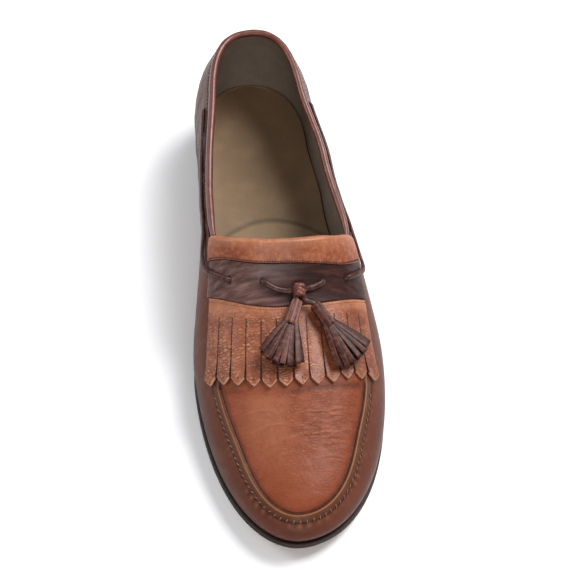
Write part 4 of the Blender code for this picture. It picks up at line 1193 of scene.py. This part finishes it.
bind_stand = unit(np.stack([np.interp(new_run, route_run, stand[:, k]) for k in range(3)], -1))
end_share = ease(np.minimum(new_run, route_run[-1] - new_run)/END_RUN)
half_wide = END_HALF_WIDE + (BINDING/2 - END_HALF_WIDE)*end_share
half_thick = END_HALF_THICK + (BINDING/2 - 0.0003 - END_HALF_THICK)*end_share
pinch = 1 + 0.03*mottle(new_run*1000, 0*new_run, 3.5, 21)
piece("collar_binding_calf", sweep(bind_path, bind_stand, half_wide*pinch, half_thick*pinch, 20, 2.2),
      oxblood_calf, ["collar_binding"], wrap=True)
print("binding", round(bind_length*1000), "mm long")

# %% [markdown]
# A row of small dark stitches holds the binding to the quarter, close under it. They follow the wall's edge
# a hundredth of p further down, from the lace's turn to the back.

# %% Stitches under the collar
s_row = np.linspace(0.030, LENGTH/2 - 0.003, 48)
for side, name in ((-1, "medial"), (1, "lateral")):
    p_row = side*(wall_edge(s_row, side) + 0.010)
    spots, way = skin(s_row, p_row, 0.00010), np.gradient(skin(s_row, p_row, 0), axis=0)
    stitch_piece("binding_stitches_" + name, spots, way, normal(s_row, p_row), 0.0017, 0.0005, dark_thread)

# %% [markdown]
# Band, strap and flap lie across the instep one in front of the other. Hand-cut leather is never quite
# straight, so two short tables move their shared borders by up to 3 mm. A third gives their side edges as
# arcs from the crest, in shares of the half width at the ball.

# %% Borders across the instep
# (share of the way from the medial side, shift towards the heel in mm)
BAND_BORDER = np.array([(0, 0), (0.22, 0), (0.43, 0.8), (0.55, 0), (0.68, -1.7), (0.84, -3.0), (0.93, -1.8),
                        (1, 0)])
FLAP_BORDER = np.array([(0, 2.0), (0.10, 0.8), (0.25, -0.8), (0.43, -1.6), (0.75, -1.6), (0.90, -0.7),
                        (1, 0)])
# (station in shares of LENGTH, medial arc, lateral arc)
FLAP_EDGE = np.array([
    (-0.196, 1.01, 1.05),
    (-0.110, 0.94, 1.04),
    (-0.044, 0.87, 1.03),
    (0.015, 0.84, 1.00),
    (0.060, 0.89, 0.95),
])


def flap_edge(s, side):
    """Arc from the crest to the side edge: side x half width at the ball x the table's share at station s."""
    ball = BALL_MEDIAL if side < 0 else BALL_LATERAL
    return side*ball*through(FLAP_EDGE[:, 0]*LENGTH, FLAP_EDGE[:, 1 if side < 0 else 2], s)


def border_shift(table, share):
    """How far a border lies behind its plain station, in metres, at a share of the way across the instep."""
    return through(table[:, 0], table[:, 1], share)/1000


print("borders move by", BAND_BORDER[:, 1].min(), "to", FLAP_BORDER[:, 1].max(), "mm")

# %% [markdown]
# The tan band is folded over the throat's raw edge and stitched down in front. Its path goes up over the
# leather, round the fold and down inside. In station and height that is a straight run, a half circle and a
# straight run back.

# %% Path of the fold
TONGUE_FRONT, TONGUE_TUCK = 0.0043, 0.0060
half = TONGUE_THICK/2
over_edge, under_edge = GAP + half, -WALL - 2*GAP - half
fold_radius = (over_edge - under_edge)/2
fold_turn = np.linspace(np.pi/2, -np.pi/2, 15)
fold_at = THROAT + 2*GAP
front_run = np.linspace(TONGUE_FRONT, TONGUE_FRONT + 0.75*(THROAT - TONGUE_FRONT), 9)
fold_s = np.concatenate([front_run, fold_at + 0.6*fold_radius*np.cos(fold_turn),
                         fold_at - TONGUE_TUCK*np.array([0.25, 0.5, 0.75, 1.0])])
fold_h = np.concatenate([np.full(9, over_edge), (over_edge + under_edge)/2 + fold_radius*np.sin(fold_turn),
                         np.full(4, under_edge)])


def edge_arc(s, side):
    """Arc from the crest to the wall's edge at one station, the sum of 59 short steps over the last."""
    p = np.linspace(0, float(wall_edge(np.array([s]), side)[0]), 60)
    return side*np.linalg.norm(np.diff(last(np.full(60, s), side*p), axis=0), axis=1).sum()


print("fold of", len(fold_s), "rows, radius", round(fold_radius*1000, 2), "mm")

# %% [markdown]
# Across the instep the band runs from one side edge to the other, and its part inside the shoe stays within
# the lining. Its top edge waves a little, as soft leather does, and swells here and there. Solidify gives it
# its thickness.

# %% Tan band over the throat
edge_s = np.minimum(fold_s, THROAT)
inside_share = ease(np.clip((np.arange(len(fold_s)) - 9)/7, 0, 1))
corner_round = 0.0012*ease((fold_s - TONGUE_FRONT - 0.0045)/0.0045)
medial_wide = flap_edge(edge_s, -1) - 0.0008 + corner_round
lateral_wide = flap_edge(edge_s, 1) + 0.0018 - corner_round
medial_inside = np.maximum(medial_wide, edge_arc(THROAT, -1) + 2*GAP)
lateral_inside = np.minimum(lateral_wide, edge_arc(THROAT, 1) - 2*GAP)
medial_arc = medial_wide + (medial_inside - medial_wide)*inside_share
lateral_arc = lateral_wide + (lateral_inside - lateral_wide)*inside_share
band_share = np.linspace(0, 1, 90)
band_arcs = medial_arc[:, None] + (lateral_arc - medial_arc)[:, None]*band_share[None, :]
swell = 0.00025*mottle(band_arcs*1000, fold_s[:, None]*1000 + 0*band_arcs, 9.0, 31)
lift_at = np.array([0.0, 0.05, 0.13, 0.25, 0.35, 0.45, 0.55, 0.65, 0.77, 0.85, 0.92, 1.0])
lift_mm = np.array([2.0, 0.9, -0.5, -0.5, 0.2, 0.4, -0.1, -0.5, -0.6, -0.5, 0.5, 2.2])
backward = ease((fold_s - TONGUE_FRONT)/(THROAT - TONGUE_FRONT))[:, None]
stand_back = (through(lift_at, lift_mm/1000, band_share)[None, :]*backward
              + (1 - backward)*border_shift(BAND_BORDER, band_share)[None, :])
band_h = fold_h[:, None] + swell*np.sign(fold_h[:, None] + 1e-9)*0.6
band_points = vamp(fold_s[:, None] + stand_back, band_arcs, band_h)
fold_run = np.concatenate([[0], np.cumsum(np.hypot(np.diff(fold_s), np.diff(fold_h)))])*1000
from_end = np.minimum(band_arcs - medial_arc[:, None], lateral_arc[:, None] - band_arcs)*1000
# The band is painted paler towards its fold, as a highlight near its top.
tongue = piece("tan_throat_band", band_points, tan_calf, ["tongue_band"],
               {"tip": np.minimum(fold_run[:, None] + 0.5, from_end + 0.3), "slit": 9.0, "pinhole": 9.0,
                "grainy": 0.12, "rub_and_painted_light": 0.08 + 0.5*ease((fold_run - 4)/5)[:, None]})
thicken(tongue, TONGUE_THICK, 0, 0.0005)

# %% [markdown]
# Dark waxed stitches close the band's front edge. Each lies a little askew, as a machine stitch in soft
# leather does.

# %% Stitches of the band
arcs_row = np.linspace(flap_edge(TONGUE_FRONT, -1) + 0.0015, flap_edge(TONGUE_FRONT, 1) - 0.0015, 62)
row_at = TONGUE_FRONT + 0.0007 + border_shift(BAND_BORDER, np.linspace(0.015, 0.985, 62))
row_points = vamp(row_at, arcs_row, GAP + TONGUE_THICK + 0.00005)
row_way = np.gradient(vamp(row_at, arcs_row, 0), axis=0)
row_stand = normal(row_at, p_at_arc(row_at, arcs_row))
askew = row_way + 0.3*np.cross(row_stand, row_way)
stitch_piece("band_stitches", row_points, askew, row_stand, 0.0014, 0.0007, dark_thread)

# %% [markdown]
# The saddle strap lies in front of the band, under the lace. The lace comes up through four slots in it, so
# the strap carries the distance to the nearest slot as a mark, sinks a little there and is painted dark, as
# the shade in the slot's mouth.

# %% Dark saddle strap
SADDLE_THICK = 0.0010
KILTIE_BACK, KILTIE_FRONT, KILTIE_THICK = -0.0134, -0.0589, 0.0013
# Slots as (station, arc from the crest)
SLOTS_INNER = {"medial": (-0.0024, -0.0084), "lateral": (-0.0051, 0.0251)}
SLOTS_OUTER = {"medial": (-0.0039, -0.0264), "lateral": (-0.0047, 0.0389)}
LACE_SLOTS = np.array([*SLOTS_INNER.values(), *SLOTS_OUTER.values()])
s_strap = np.linspace(KILTIE_BACK + GAP, TONGUE_FRONT - GAP, 40)
strap_share = np.linspace(0, 1, 200)[None, :]
strap_medial, strap_lateral = flap_edge(s_strap, -1)[:, None], flap_edge(s_strap, 1)[:, None]
strap_arcs = strap_medial + (strap_lateral - strap_medial)*strap_share
strap_back = np.linspace(0, 1, 40)[:, None]
s_grid = (s_strap[:, None] + border_shift(FLAP_BORDER, strap_share)*(1 - strap_back)
          + border_shift(BAND_BORDER, strap_share)*strap_back)
to_slots = np.hypot((s_grid[..., None] - LACE_SLOTS[:, 0])/1.7, strap_arcs[..., None] - LACE_SLOTS[:, 1])
slot_mm = to_slots.min(-1)*1000
strap_h = (GAP - 0.0002*np.exp(-(slot_mm/1.1)**2) + 0.00006*np.exp(-((slot_mm - 2.2)/0.9)**2)
           + 0.00012*mottle(strap_arcs*1000*0.5, s_grid*1000, 4.0, 41))
strap_end = np.minimum(strap_arcs - strap_medial, strap_lateral - strap_arcs)*1000 + 0.4
# The medial part of the strap gets a painted sheen.
strap = piece("dark_saddle_strap", vamp(s_grid, strap_arcs, np.maximum(strap_h, 0.0001)), strap_calf,
              ["saddle_band"],
              {"slot": slot_mm, "end": strap_end, "painted_sheen": 0.64*ease((18 - strap_arcs*1000)/38)})
thicken(strap, SADDLE_THICK, 1, 0.0003)

# %% [markdown]
# The kiltie is one piece of grained tan calf. Slits cut it into tabs, and each tab ends in a blunt point. So
# its grid has eleven columns on each tab and rows that run from the strap to the tips. The faces between two
# tabs are left out in front of the slit's end, and all tabs still hang on one strip.

# %% Grid of the fringed flap
TAB_COUNT, POINT_DEPTH = 12, 0.0044
SLIT_BACK, SLIT_WIDTH = -0.0212, 0.00026
tab_columns = 11
tab_u = (1 - np.cos(np.pi*np.linspace(0, 1, tab_columns)))/2*0.5 + np.linspace(0, 1, tab_columns)*0.5
strip_share = np.linspace(0, 1, 9)
tab_share = np.linspace(0, 1, 46)[1:]
u_all = np.tile(tab_u, TAB_COUNT)
number = np.repeat(np.arange(TAB_COUNT), tab_columns)
reach_share = 1 - np.abs(2*u_all - 1)**1.2
tip_jitter = np.random.default_rng(5).uniform(-0.0007, 0.0007, TAB_COUNT)[number]
corner_s = KILTIE_FRONT + POINT_DEPTH + tip_jitter
tip_s = corner_s - POINT_DEPTH*reach_share
back_edge = KILTIE_BACK - GAP + border_shift(FLAP_BORDER, (number + u_all)/TAB_COUNT)[None, :]
back_rows = back_edge + (SLIT_BACK - back_edge)*strip_share[:, None]
tab_rows = SLIT_BACK + (tip_s - SLIT_BACK)[None, :]*tab_share[:, None]
s_flap = np.concatenate([back_rows, tab_rows])
edge_rows = np.concatenate([back_rows, SLIT_BACK + (corner_s - SLIT_BACK)[None, :]*tab_share[:, None]])
flap_medial, flap_lateral = flap_edge(edge_rows, -1), flap_edge(edge_rows, 1)
pitch = (flap_lateral - flap_medial)/TAB_COUNT
narrow = SLIT_WIDTH/2 + 0.00045*np.concatenate([0*strip_share, tab_share**6])[:, None]
arc_flap = flap_medial + pitch*number[None, :] + narrow + (pitch - 2*narrow)*u_all[None, :]
down_tab = np.concatenate([0*strip_share, tab_share])[:, None]*np.ones((1, len(u_all)))
flap_keep = np.ones((s_flap.shape[0] - 1, s_flap.shape[1] - 1), bool)
flap_keep[len(strip_share) - 1:, tab_columns - 1::tab_columns] = False
print("flap grid", s_flap.shape, "tabs", (pitch.mean()*1000).round(1), "mm wide")

# %% [markdown]
# The tabs have been walked and polished for years: they crown between the slits, curl up at the tips and
# wrinkle across. Two slanting sets of sharp ridges, 1 - 2|noise|, make the wrinkles. A tab's crown is
# 1 - (2u - 1)^2 across it, and its curl a high power of the way down.

# %% Relief of the fringed flap
TAB_LIFT = 0.0010
crown_height = 0.00035*(1 - (2*u_all - 1)**2)[None, :]*ease(down_tab*3)
tab_curl = np.random.default_rng(6).uniform(0, 0.0007, TAB_COUNT)[number][None, :]
curl = 0.0005*down_tab**10 + TAB_LIFT*down_tab**3 + tab_curl*down_tab**4
x_flap, y_flap = arc_flap*1000, s_flap*1000
bend_a, bend_b = 0.65*x_flap - y_flap, 0.25*x_flap + y_flap
ridge_a = 1 - 2*np.abs(mottle(bend_a, 0.25*x_flap + 0.3*y_flap, 2.8, 51))
ridge_b = 1 - 2*np.abs(mottle(bend_b, 0.4*x_flap, 3.2, 52))
wrinkle = 0.5*ridge_a + 0.5*ridge_b
wrinkle_share = ease((-15 - y_flap)/8)*(0.40 + 0.60*ease((22 - x_flap)/30))
h_flap = GAP + 0.0001 + curl + crown_height + 0.00020*wrinkle*wrinkle_share
print("flap rises", (h_flap.max()*1000).round(2), "mm over the last")

# %% [markdown]
# The colour follows a few marks: the cut tips are pale, the slits get painted shade, the strip in front of
# the strap a painted highlight, and the lateral tabs painted shade. Seven of the tabs have a pinhole 3.8 mm
# behind the tip. All but the mark of wear and painted light are distance marks in mm, which the tan calf
# turns into colour.

# %% Fringed flap
tip_mm = (s_flap - tip_s[None, :])*1000*0.9
side_mm = np.minimum(u_all, 1 - u_all)[None, :]*pitch*1000
slit_mm = np.where(down_tab > 0.001, side_mm, 9.0)
back_mm = (back_edge - s_flap)*1000
u_mm = (u_all[None, :] - 0.5)*pitch*1000
pinhole_on = np.isin(number, (1, 2, 3, 4, 6, 8, 9))[None, :]
mid_tip = corner_s - POINT_DEPTH
pinhole = np.where(pinhole_on, np.hypot(u_mm, (s_flap - mid_tip[None, :])*1000 - 3.8), 9.0)
on_strip = ease((y_flap + 24)/8)
# Wrinkle tops paler, as wear and painted highlight, and valleys darker, as painted shade; a painted highlight
# on the strip in front of the strap, and painted shade on the lateral tabs.
flap_rub_and_painted_light = 0.35*wrinkle*wrinkle_share + 0.55*on_strip - 0.45*ease((x_flap - 14)/20)*(1 - on_strip)
flap = piece("fringed_flap", vamp(s_flap, arc_flap, h_flap), tan_calf, ["kiltie"],
             {"tip": np.minimum(tip_mm, back_mm + 0.05), "slit": slit_mm, "pinhole": pinhole,
              "rub_and_painted_light": np.clip(flap_rub_and_painted_light, -1, 1), "grainy": wrinkle_share}, keep=flap_keep)
thicken(flap, KILTIE_THICK, 1, 0.00028)

# %% [markdown]
# One row of dark stitches joins the flap to the upper, 1.6 mm in front of its back edge.

# %% Stitches of the flap
flap_row_arcs = np.linspace(flap_edge(KILTIE_BACK, -1) + 0.0018, flap_edge(KILTIE_BACK, 1) - 0.0018, 60)
flap_row_at = KILTIE_BACK - GAP - 0.0016 + border_shift(FLAP_BORDER, np.linspace(0.018, 0.982, 60))
flap_row = vamp(flap_row_at, flap_row_arcs, GAP + KILTIE_THICK + 0.0001)
stitch_piece("flap_stitches", flap_row, np.gradient(flap_row, axis=0),
             normal(flap_row_at, p_at_arc(flap_row_at, flap_row_arcs)), 0.0012, 0.0004, dark_thread)

# %% [markdown]
# The lace is a thong rolled from the same dark calf. It comes out of an outer slot, turns back over the
# strap's edge and runs along the quarter into a slot near the heel, 9.8 mm under the topline. It is pressed
# flat there. Its path is laid over the leather and dives where it enters a slot.

# %% Lace on the quarters
LACE_FLAT, LACE_DROP, REAR_SLOT = 0.0014, 0.0098, 0.0995
# (station, arc) of two points beyond the strap's edge
LACE_OVER_EDGE = {
    "medial": [(0.0004, -0.0410), (0.0080, -0.0480)],
    "lateral": [(0.0006, 0.0545), (0.0080, 0.0580)],
}

for name, slot in SLOTS_OUTER.items():
    side = -1 if name == "medial" else 1
    s, arc = np.array([slot] + LACE_OVER_EDGE[name]).T
    marks_at, at = np.arange(3.0), np.linspace(0, 2, 9)
    s_run = through(marks_at, s, at)
    p_run = p_at_arc(s_run, through(marks_at, arc, at))
    s_back = np.linspace(THROAT + 0.009, REAR_SLOT, 14)
    s_run = np.concatenate([s_run, s_back])
    p_run = np.concatenate([p_run, side*p_at_height(s_back, side, topline(s_back, side) - LACE_DROP)])
    fade = ease((s_run - LACE_OVER_EDGE[name][0][0])/0.014)
    height = GAP + LACE_FLAT/2 + (SADDLE_THICK + GAP)*(1 - fade)
    laid = skin(s_run, p_run, height)
    path, length = smooth_path(laid, 260)
    run = np.linspace(0, length, 260)
    coarse = np.concatenate([[0], np.cumsum(np.linalg.norm(np.diff(laid, axis=0), axis=1))])
    coarse = coarse*length/coarse[-1]
    stand = normal(s_run, p_run)
    stand = unit(np.stack([np.interp(run, coarse, stand[:, k]) for k in range(3)], -1))
    dive = 0.0016*np.exp(-(run/0.0012)**2) + 0.0012*np.exp(-((length - run)/0.0012)**2)
    path = path - stand*dive[:, None]
    full = 0.0009 + 0.0005*np.exp(-(run/0.012)**2)
    twist = 1 + 0.10*mottle(run*1000, 0*run, 6.0, 61 + side)
    sides = sweep(path, stand, 0.0015*twist, full*twist, 16, 2.4)
    piece("lace_side_" + name, sides, thong_calf, ["lace_run_" + name], wrap=True)
    print("lace side", name, round(float(length)*1000), "mm long")

# %% [markdown]
# In front the lace comes up through the inner slots and meets in the knot. It is nearly round here, because
# nothing presses it, with a few soft folds.

# %% Lace on the strap
LACE = 0.0032
KNOT_AT = (-0.0078, 0.0106)
KNOT_WIDTH, KNOT_LENGTH, KNOT_THICK = 0.0072, 0.0080, 0.0064

knot_s, knot_arc = KNOT_AT
for name, (slot_s, slot_arc) in SLOTS_INNER.items():
    side = -1 if name == "medial" else 1
    end_arc = knot_arc + side*(KNOT_WIDTH/2 + GAP)
    at = np.linspace(0, 1, 9)
    s_bar = slot_s + (knot_s - slot_s)*np.sin(at*np.pi/2)
    arc_bar = slot_arc + (end_arc - slot_arc)*at
    height = 2*GAP + SADDLE_THICK + LACE/2 - 0.0016*np.exp(-(at/0.10)**2)
    path, length = smooth_path(vamp(s_bar, arc_bar, height), 90)
    stand = normal(s_bar, p_at_arc(s_bar, arc_bar))
    stand = unit(np.stack([np.interp(np.linspace(0, 1, 90), at, stand[:, k]) for k in range(3)], -1))
    run = np.linspace(0, length, 90)
    fold = 1 + 0.12*mottle(run*1000, 0*run, 3.0, 71 + side)
    piece("lace_front_" + name, sweep(path, stand, 0.00165*fold, 0.00125*fold, 18, 2.3), thong_calf,
          ["lace_bar_" + name], wrap=True)
    print("lace front", name, round(float(length)*1000, 1), "mm long")

# %% [markdown]
# The knot is one end of the lace wrapped round the other: a small cushion with folds that run over it. It is
# a superellipsoid, a sphere whose sines and cosines are taken to the power 0.62, with creases pressed in. Its
# leather is bent hard, which opens the grain, so it looks redder and paler than the lace.

# %% Knot


def frame_on_vamp(place, towards, h, rise=0.0):
    """Centre, direction, across and up of a piece that lies on the instep."""
    here = vamp(place[0], place[1], h)
    there = vamp(towards[0], towards[1], h + rise)
    n = normal(place[0], p_at_arc(place[0], place[1]))
    along = unit(there - here)
    across = unit(np.cross(n, along))
    return here, along, across, np.cross(along, across)


knot_h = 4*GAP + SADDLE_THICK + KNOT_THICK/2
knot_frame = frame_on_vamp(KNOT_AT, (KNOT_AT[0] - GAP, KNOT_AT[1]), knot_h)
theta = np.linspace(0.001, np.pi - 0.001, 40)[:, None]
phi = np.linspace(0, 2*np.pi, 64, endpoint=False)[None, :]


def power(value, n):
    """|value|^n with the sign of value."""
    return np.sign(value)*np.abs(value)**n


kx = power(np.cos(theta), 0.62) + 0*phi
ky = power(np.sin(theta), 0.62)*power(np.cos(phi), 0.62)
kz = power(np.sin(theta), 0.62)*power(np.sin(phi), 0.62)
crease = 1 - 0.16*np.exp(-((kx - 0.28 - 0.35*ky)/0.10)**2) - 0.15*np.exp(-((kx + 0.38 - 0.30*ky)/0.10)**2)
crease = crease - 0.10*np.exp(-((ky - 0.55)/0.12)**2)*(kx < 0.25)
here, along, across, above = knot_frame
kp = (here + along*(kx*KNOT_LENGTH/2*0.96)[..., None] + across*(ky*crease*KNOT_WIDTH/2*0.98)[..., None]
      + above*(kz*crease*KNOT_THICK/2*0.98)[..., None])


def knot_colour(tree, mm):
    """Reddish brown in patches of 1.8 mm."""
    noise = add(tree, "ShaderNodeTexNoise", {"Scale": 1/1.8, "Detail": 4.0}, {"Vector": mm})
    return add(tree, "ShaderNodeValToRGB", links={0: noise.outputs[0]},
               stops=[(0.32, "#3A1813"), (0.50, "#5C2C24"), (0.68, "#7E473C")]).outputs["Color"], None


knot_calf = calf("folded_reddish_thong", knot_colour, 0.38, 0.10, 0.9, 0.04, 2.4, 0.12, 0.2)
piece("lace_wrap_knot", kp, knot_calf, ["lace_knot"], wrap=True)

# %% [markdown]
# A tassel is calf cut thin with raw edges. The mark lit tells how far out a strip lies and paints its light:
# 0 is painted shade in the middle of the bunch and 2 a painted highlight on its outside.

# %% Cut tassel calf


def tassel_colour(tree, mm):
    """Dark brown: painted shade towards black as lit falls from 1 to 0, a painted highlight as it rises to 2.
    """
    noise = add(tree, "ShaderNodeTexNoise", {"Scale": 1/2.2, "Detail": 4.0}, {"Vector": mm})
    tone = add(tree, "ShaderNodeValToRGB", links={0: noise.outputs[0]},
               stops=[(0.30, "#331712"), (0.50, "#45231B"), (0.70, "#603A31")])
    lit = add(tree, "ShaderNodeAttribute", {"attribute_name": "lit"}).outputs["Fac"]
    dark = add(tree, "ShaderNodeMapRange", {"To Min": 0.9, "To Max": 0.0}, {"Value": lit})
    pale = add(tree, "ShaderNodeMapRange", {"From Min": 1.0, "From Max": 2.0}, {"Value": lit})
    painted_highlight = add(tree, "ShaderNodeMixRGB", {"Color2": linear("#94695F")},
                 {"Color1": tone.outputs["Color"], "Fac": pale.outputs[0]})
    return add(tree, "ShaderNodeMixRGB", {"Color2": linear("#1C0D0B")},
               {"Color1": painted_highlight.outputs[0], "Fac": dark.outputs[0]}).outputs[0], None


tassel_calf = calf("cut_tassel_calf", tassel_colour, 0.40, 0.04, 1.0, 0.04, 3.0, 0.10, 0.14)
print("finish", tassel_calf.name)

# %% [markdown]
# A tassel is a strip of calf, cut into a fringe along one edge and rolled up round the lace's end. So it has
# a rolled cap with the roll's edge showing as creases, and flat strips that fan out, square at their ends.
# They lie in three layers, and random numbers give each its own length, lean and bend.

# %% Tassels
CAP_LENGTH, CAP_RADIUS = 0.0135, 0.0036
STRIP_LENGTH, TASSEL_RISE = 0.0245, 0.0012
# (station, arc) of the cap's top, and of a point that the tassel is aimed at
TASSEL_TOP = {"medial": (-0.0145, 0.0088), "lateral": (-0.0176, 0.0184)}
TASSEL_TOWARDS = {"medial": (-0.0434, -0.0026), "lateral": (-0.0487, 0.0353)}


def tassel(name, seed):
    """Pieces, top, direction and up of one tassel. The cap is a tube with pressed creases, and each strip a
    flat tube that bends out and settles down."""
    rng = np.random.default_rng(seed)
    rest = 3*GAP + KILTIE_THICK + CAP_RADIUS
    top, along, across, above = frame_on_vamp(TASSEL_TOP[name], TASSEL_TOWARDS[name], rest, TASSEL_RISE)
    down = np.linspace(0, 1, 34)[:, None]
    around = np.linspace(0, 2*np.pi, 60, endpoint=False)[None, :]
    profile = np.interp(down, [0, 0.03, 0.08, 0.25, 0.80, 0.95, 1.0],
                        [0.0, 0.70, 0.86, 0.90, 0.98, 1.0, 0.78])
    creases = 0.055*np.sin(around*7 + 1.2*np.sin(down*3) + seed) + 0.03*np.sin(around*13 - 2*down)
    roll = -0.16*np.exp(-((around - 1.15 - 0.25*down)/0.10)**2)
    radius = CAP_RADIUS*profile*(1 + (creases + roll)*ease(down/0.12))
    cap = (top + along*((CAP_LENGTH + 0.0014)*down - 0.0014 + 0*around)[..., None]
           + across*(radius*np.cos(around))[..., None] + above*(radius*np.sin(around))[..., None])
    # The medial cap gets a painted highlight, the lateral one a little painted shade.
    cap_lit = (1.35 if name == "medial" else 0.95) + 0.3*np.sin(around*7 + seed) + 0*down
    made = [piece("tassel_cap_" + name, cap, tassel_calf, ["tassel_" + name],
                  {"lit": cap_lit}, wrap=True)]
    root = top + along*(CAP_LENGTH - 0.003)
    grids, lit = [], []
    # The third number of each layer is its light: painted shade deepens from the top layer down.
    fans = [(np.linspace(-0.42, 0.42, 6), 0.00125, 1.0), (np.linspace(-0.44, 0.44, 6) + 0.07, 0.0, 0.5),
            (np.linspace(-0.36, 0.36, 6), -0.0012, 0.15)]
    for angles, layer, tone in fans:
        for angle in angles + rng.uniform(-0.025, 0.025, len(angles)):
            share = np.linspace(0, 1, 18)
            length = 0.0030 + STRIP_LENGTH*(1 - 0.25*angle*angle - rng.uniform(0, 0.06))
            heading = unit(along*np.cos(angle) + across*np.sin(angle))
            bow = rng.uniform(-0.0005, 0.0005)*np.sin(np.pi*share)
            drop = layer*(0.75 + 0.45*share) + 0.0006*np.sin(np.pi*share*0.9)*np.sign(layer + 0.0001)
            aside = angle*CAP_RADIUS*1.5*(1 - share) + bow
            path = root + heading*(length*share)[:, None] + across*aside[:, None] + above*drop[:, None]
            tilt = unit(above + across*(0.55*angle + rng.uniform(-0.12, 0.12)))
            wide = 0.5*(0.0022 + 0.0010*ease(share*1.4))
            grids.append(sweep(path, tilt, wide, 0.00036, 12, 5.0, 2))
            lit.append(np.full(grids[-1].shape[:2], tone*rng.uniform(0.60, 1.20)))
    rows = grids[0].shape[0]
    keep = np.ones((rows*len(grids) - 1, grids[0].shape[1]), bool)
    keep[rows - 1::rows] = False
    made.append(piece("tassel_fringe_" + name, np.concatenate(grids), tassel_calf,
                      marks={"lit": np.concatenate(lit)}, keep=keep, wrap=True))
    return made, top, along, above


print("tassels of", round((CAP_LENGTH + STRIP_LENGTH)*1000), "mm")

# %% [markdown]
# Each end of the lace is a free cord: it leaves the bar inside the knot, turns down, bends to its tassel and
# ends inside the cap. The bend is a cubic Bezier curve, which keeps both directions.

# %% Lace ends with their tassels
here, knot_along, knot_across, knot_above = knot_frame
foot = here + knot_along*(KNOT_LENGTH/2 + GAP)
for name, side, seed in (("medial", -1, 3), ("lateral", 1, 8)):
    made, top, heading, above = tassel(name, seed)
    leave = foot + knot_across*side*(LACE/2 + 2*GAP)
    arrive = top - heading*GAP
    out, into = leave + knot_along*GAP, arrive - heading*GAP
    reach = 0.35*np.linalg.norm(into - out)
    at = np.linspace(0, 1, 6)[:, None]
    bend = ((1 - at)**3*out + 3*at*(1 - at)**2*(out + knot_along*reach)
            + 3*at**2*(1 - at)*(into - heading*reach) + at**3*into)
    from_bar = here - knot_across*side*(KNOT_WIDTH/2 + GAP) - knot_above*0.0022
    crossing = here - knot_across*side*0.0008 - knot_above*0.0009*side
    inside = [top + heading*reach_in for reach_in in (0.004, 0.009, 0.0145, 0.0195)]
    path, length = smooth_path([from_bar, crossing, leave - knot_along*0.0012, *bend, *inside], 70)
    thong = sweep(path, knot_above, LACE/2, LACE/2, 16, 2.0, 3)
    lace_end = piece("lace_end_thong_" + name, thong, thong_calf, ["lace_end_" + name],
                     wrap=True)
    print("lace end", name, round(float(length)*1000, 1), "mm")

# %% [markdown]
# The shoe stands on white paper, which is matt and gives soft light back from below. The floor belongs to the
# stage and isn't part of the shoe.

# %% Floor of white paper
floor_mat = bpy.data.materials.new("white_paper_sweep")
floor_mat.use_nodes = True
floor_mat.node_tree.nodes["Principled BSDF"].inputs["Base Color"].default_value = linear("#F4F4F6")
floor_mat.node_tree.nodes["Principled BSDF"].inputs["Roughness"].default_value = 0.9
bpy.ops.mesh.primitive_plane_add(size=6.0, location=(0, 0, 0))
floor = bpy.context.object
floor.name = "floor"
floor.data.materials.append(floor_mat)
print("floor", floor.name)

# %% [markdown]
# The light in the photo is soft and nearly even. A large key light high over the lateral side throws the
# faint shadow, a weaker one gives the leather its sheen from the medial side, and a third opens the toe. The
# white world fills the rest, as a room with white walls does.

# %% Light


def soft_box(name, place, target, size, watts):
    """A square white area light that faces a point."""
    light = bpy.data.lights.new(name, "AREA")
    light.size = size
    light.energy = watts
    box = bpy.data.objects.new(name, light)
    aim = Vector(target) - Vector(place)
    box.matrix_world = Matrix.Translation(place) @ aim.to_track_quat("-Z", "Y").to_matrix().to_4x4()
    bpy.context.scene.collection.objects.link(box)
    return box


soft_box("key_light", (0.80, 0.40, 1.45), (0, 0, 0.03), 0.9, 38.0)
soft_box("sheen_light", (-1.25, 0.50, 0.95), (0, 0, 0.05), 0.7, 9.0)
soft_box("front_light", (-0.1, -1.5, 1.0), (0, 0, 0.03), 0.8, 10.0)
world = bpy.data.worlds.new("studio")
world.use_nodes = True
world.node_tree.nodes["Background"].inputs["Color"].default_value = linear("#FFFFFF")
world.node_tree.nodes["Background"].inputs["Strength"].default_value = 0.38
bpy.context.scene.world = world
print("lights", [light.name for light in bpy.data.lights])
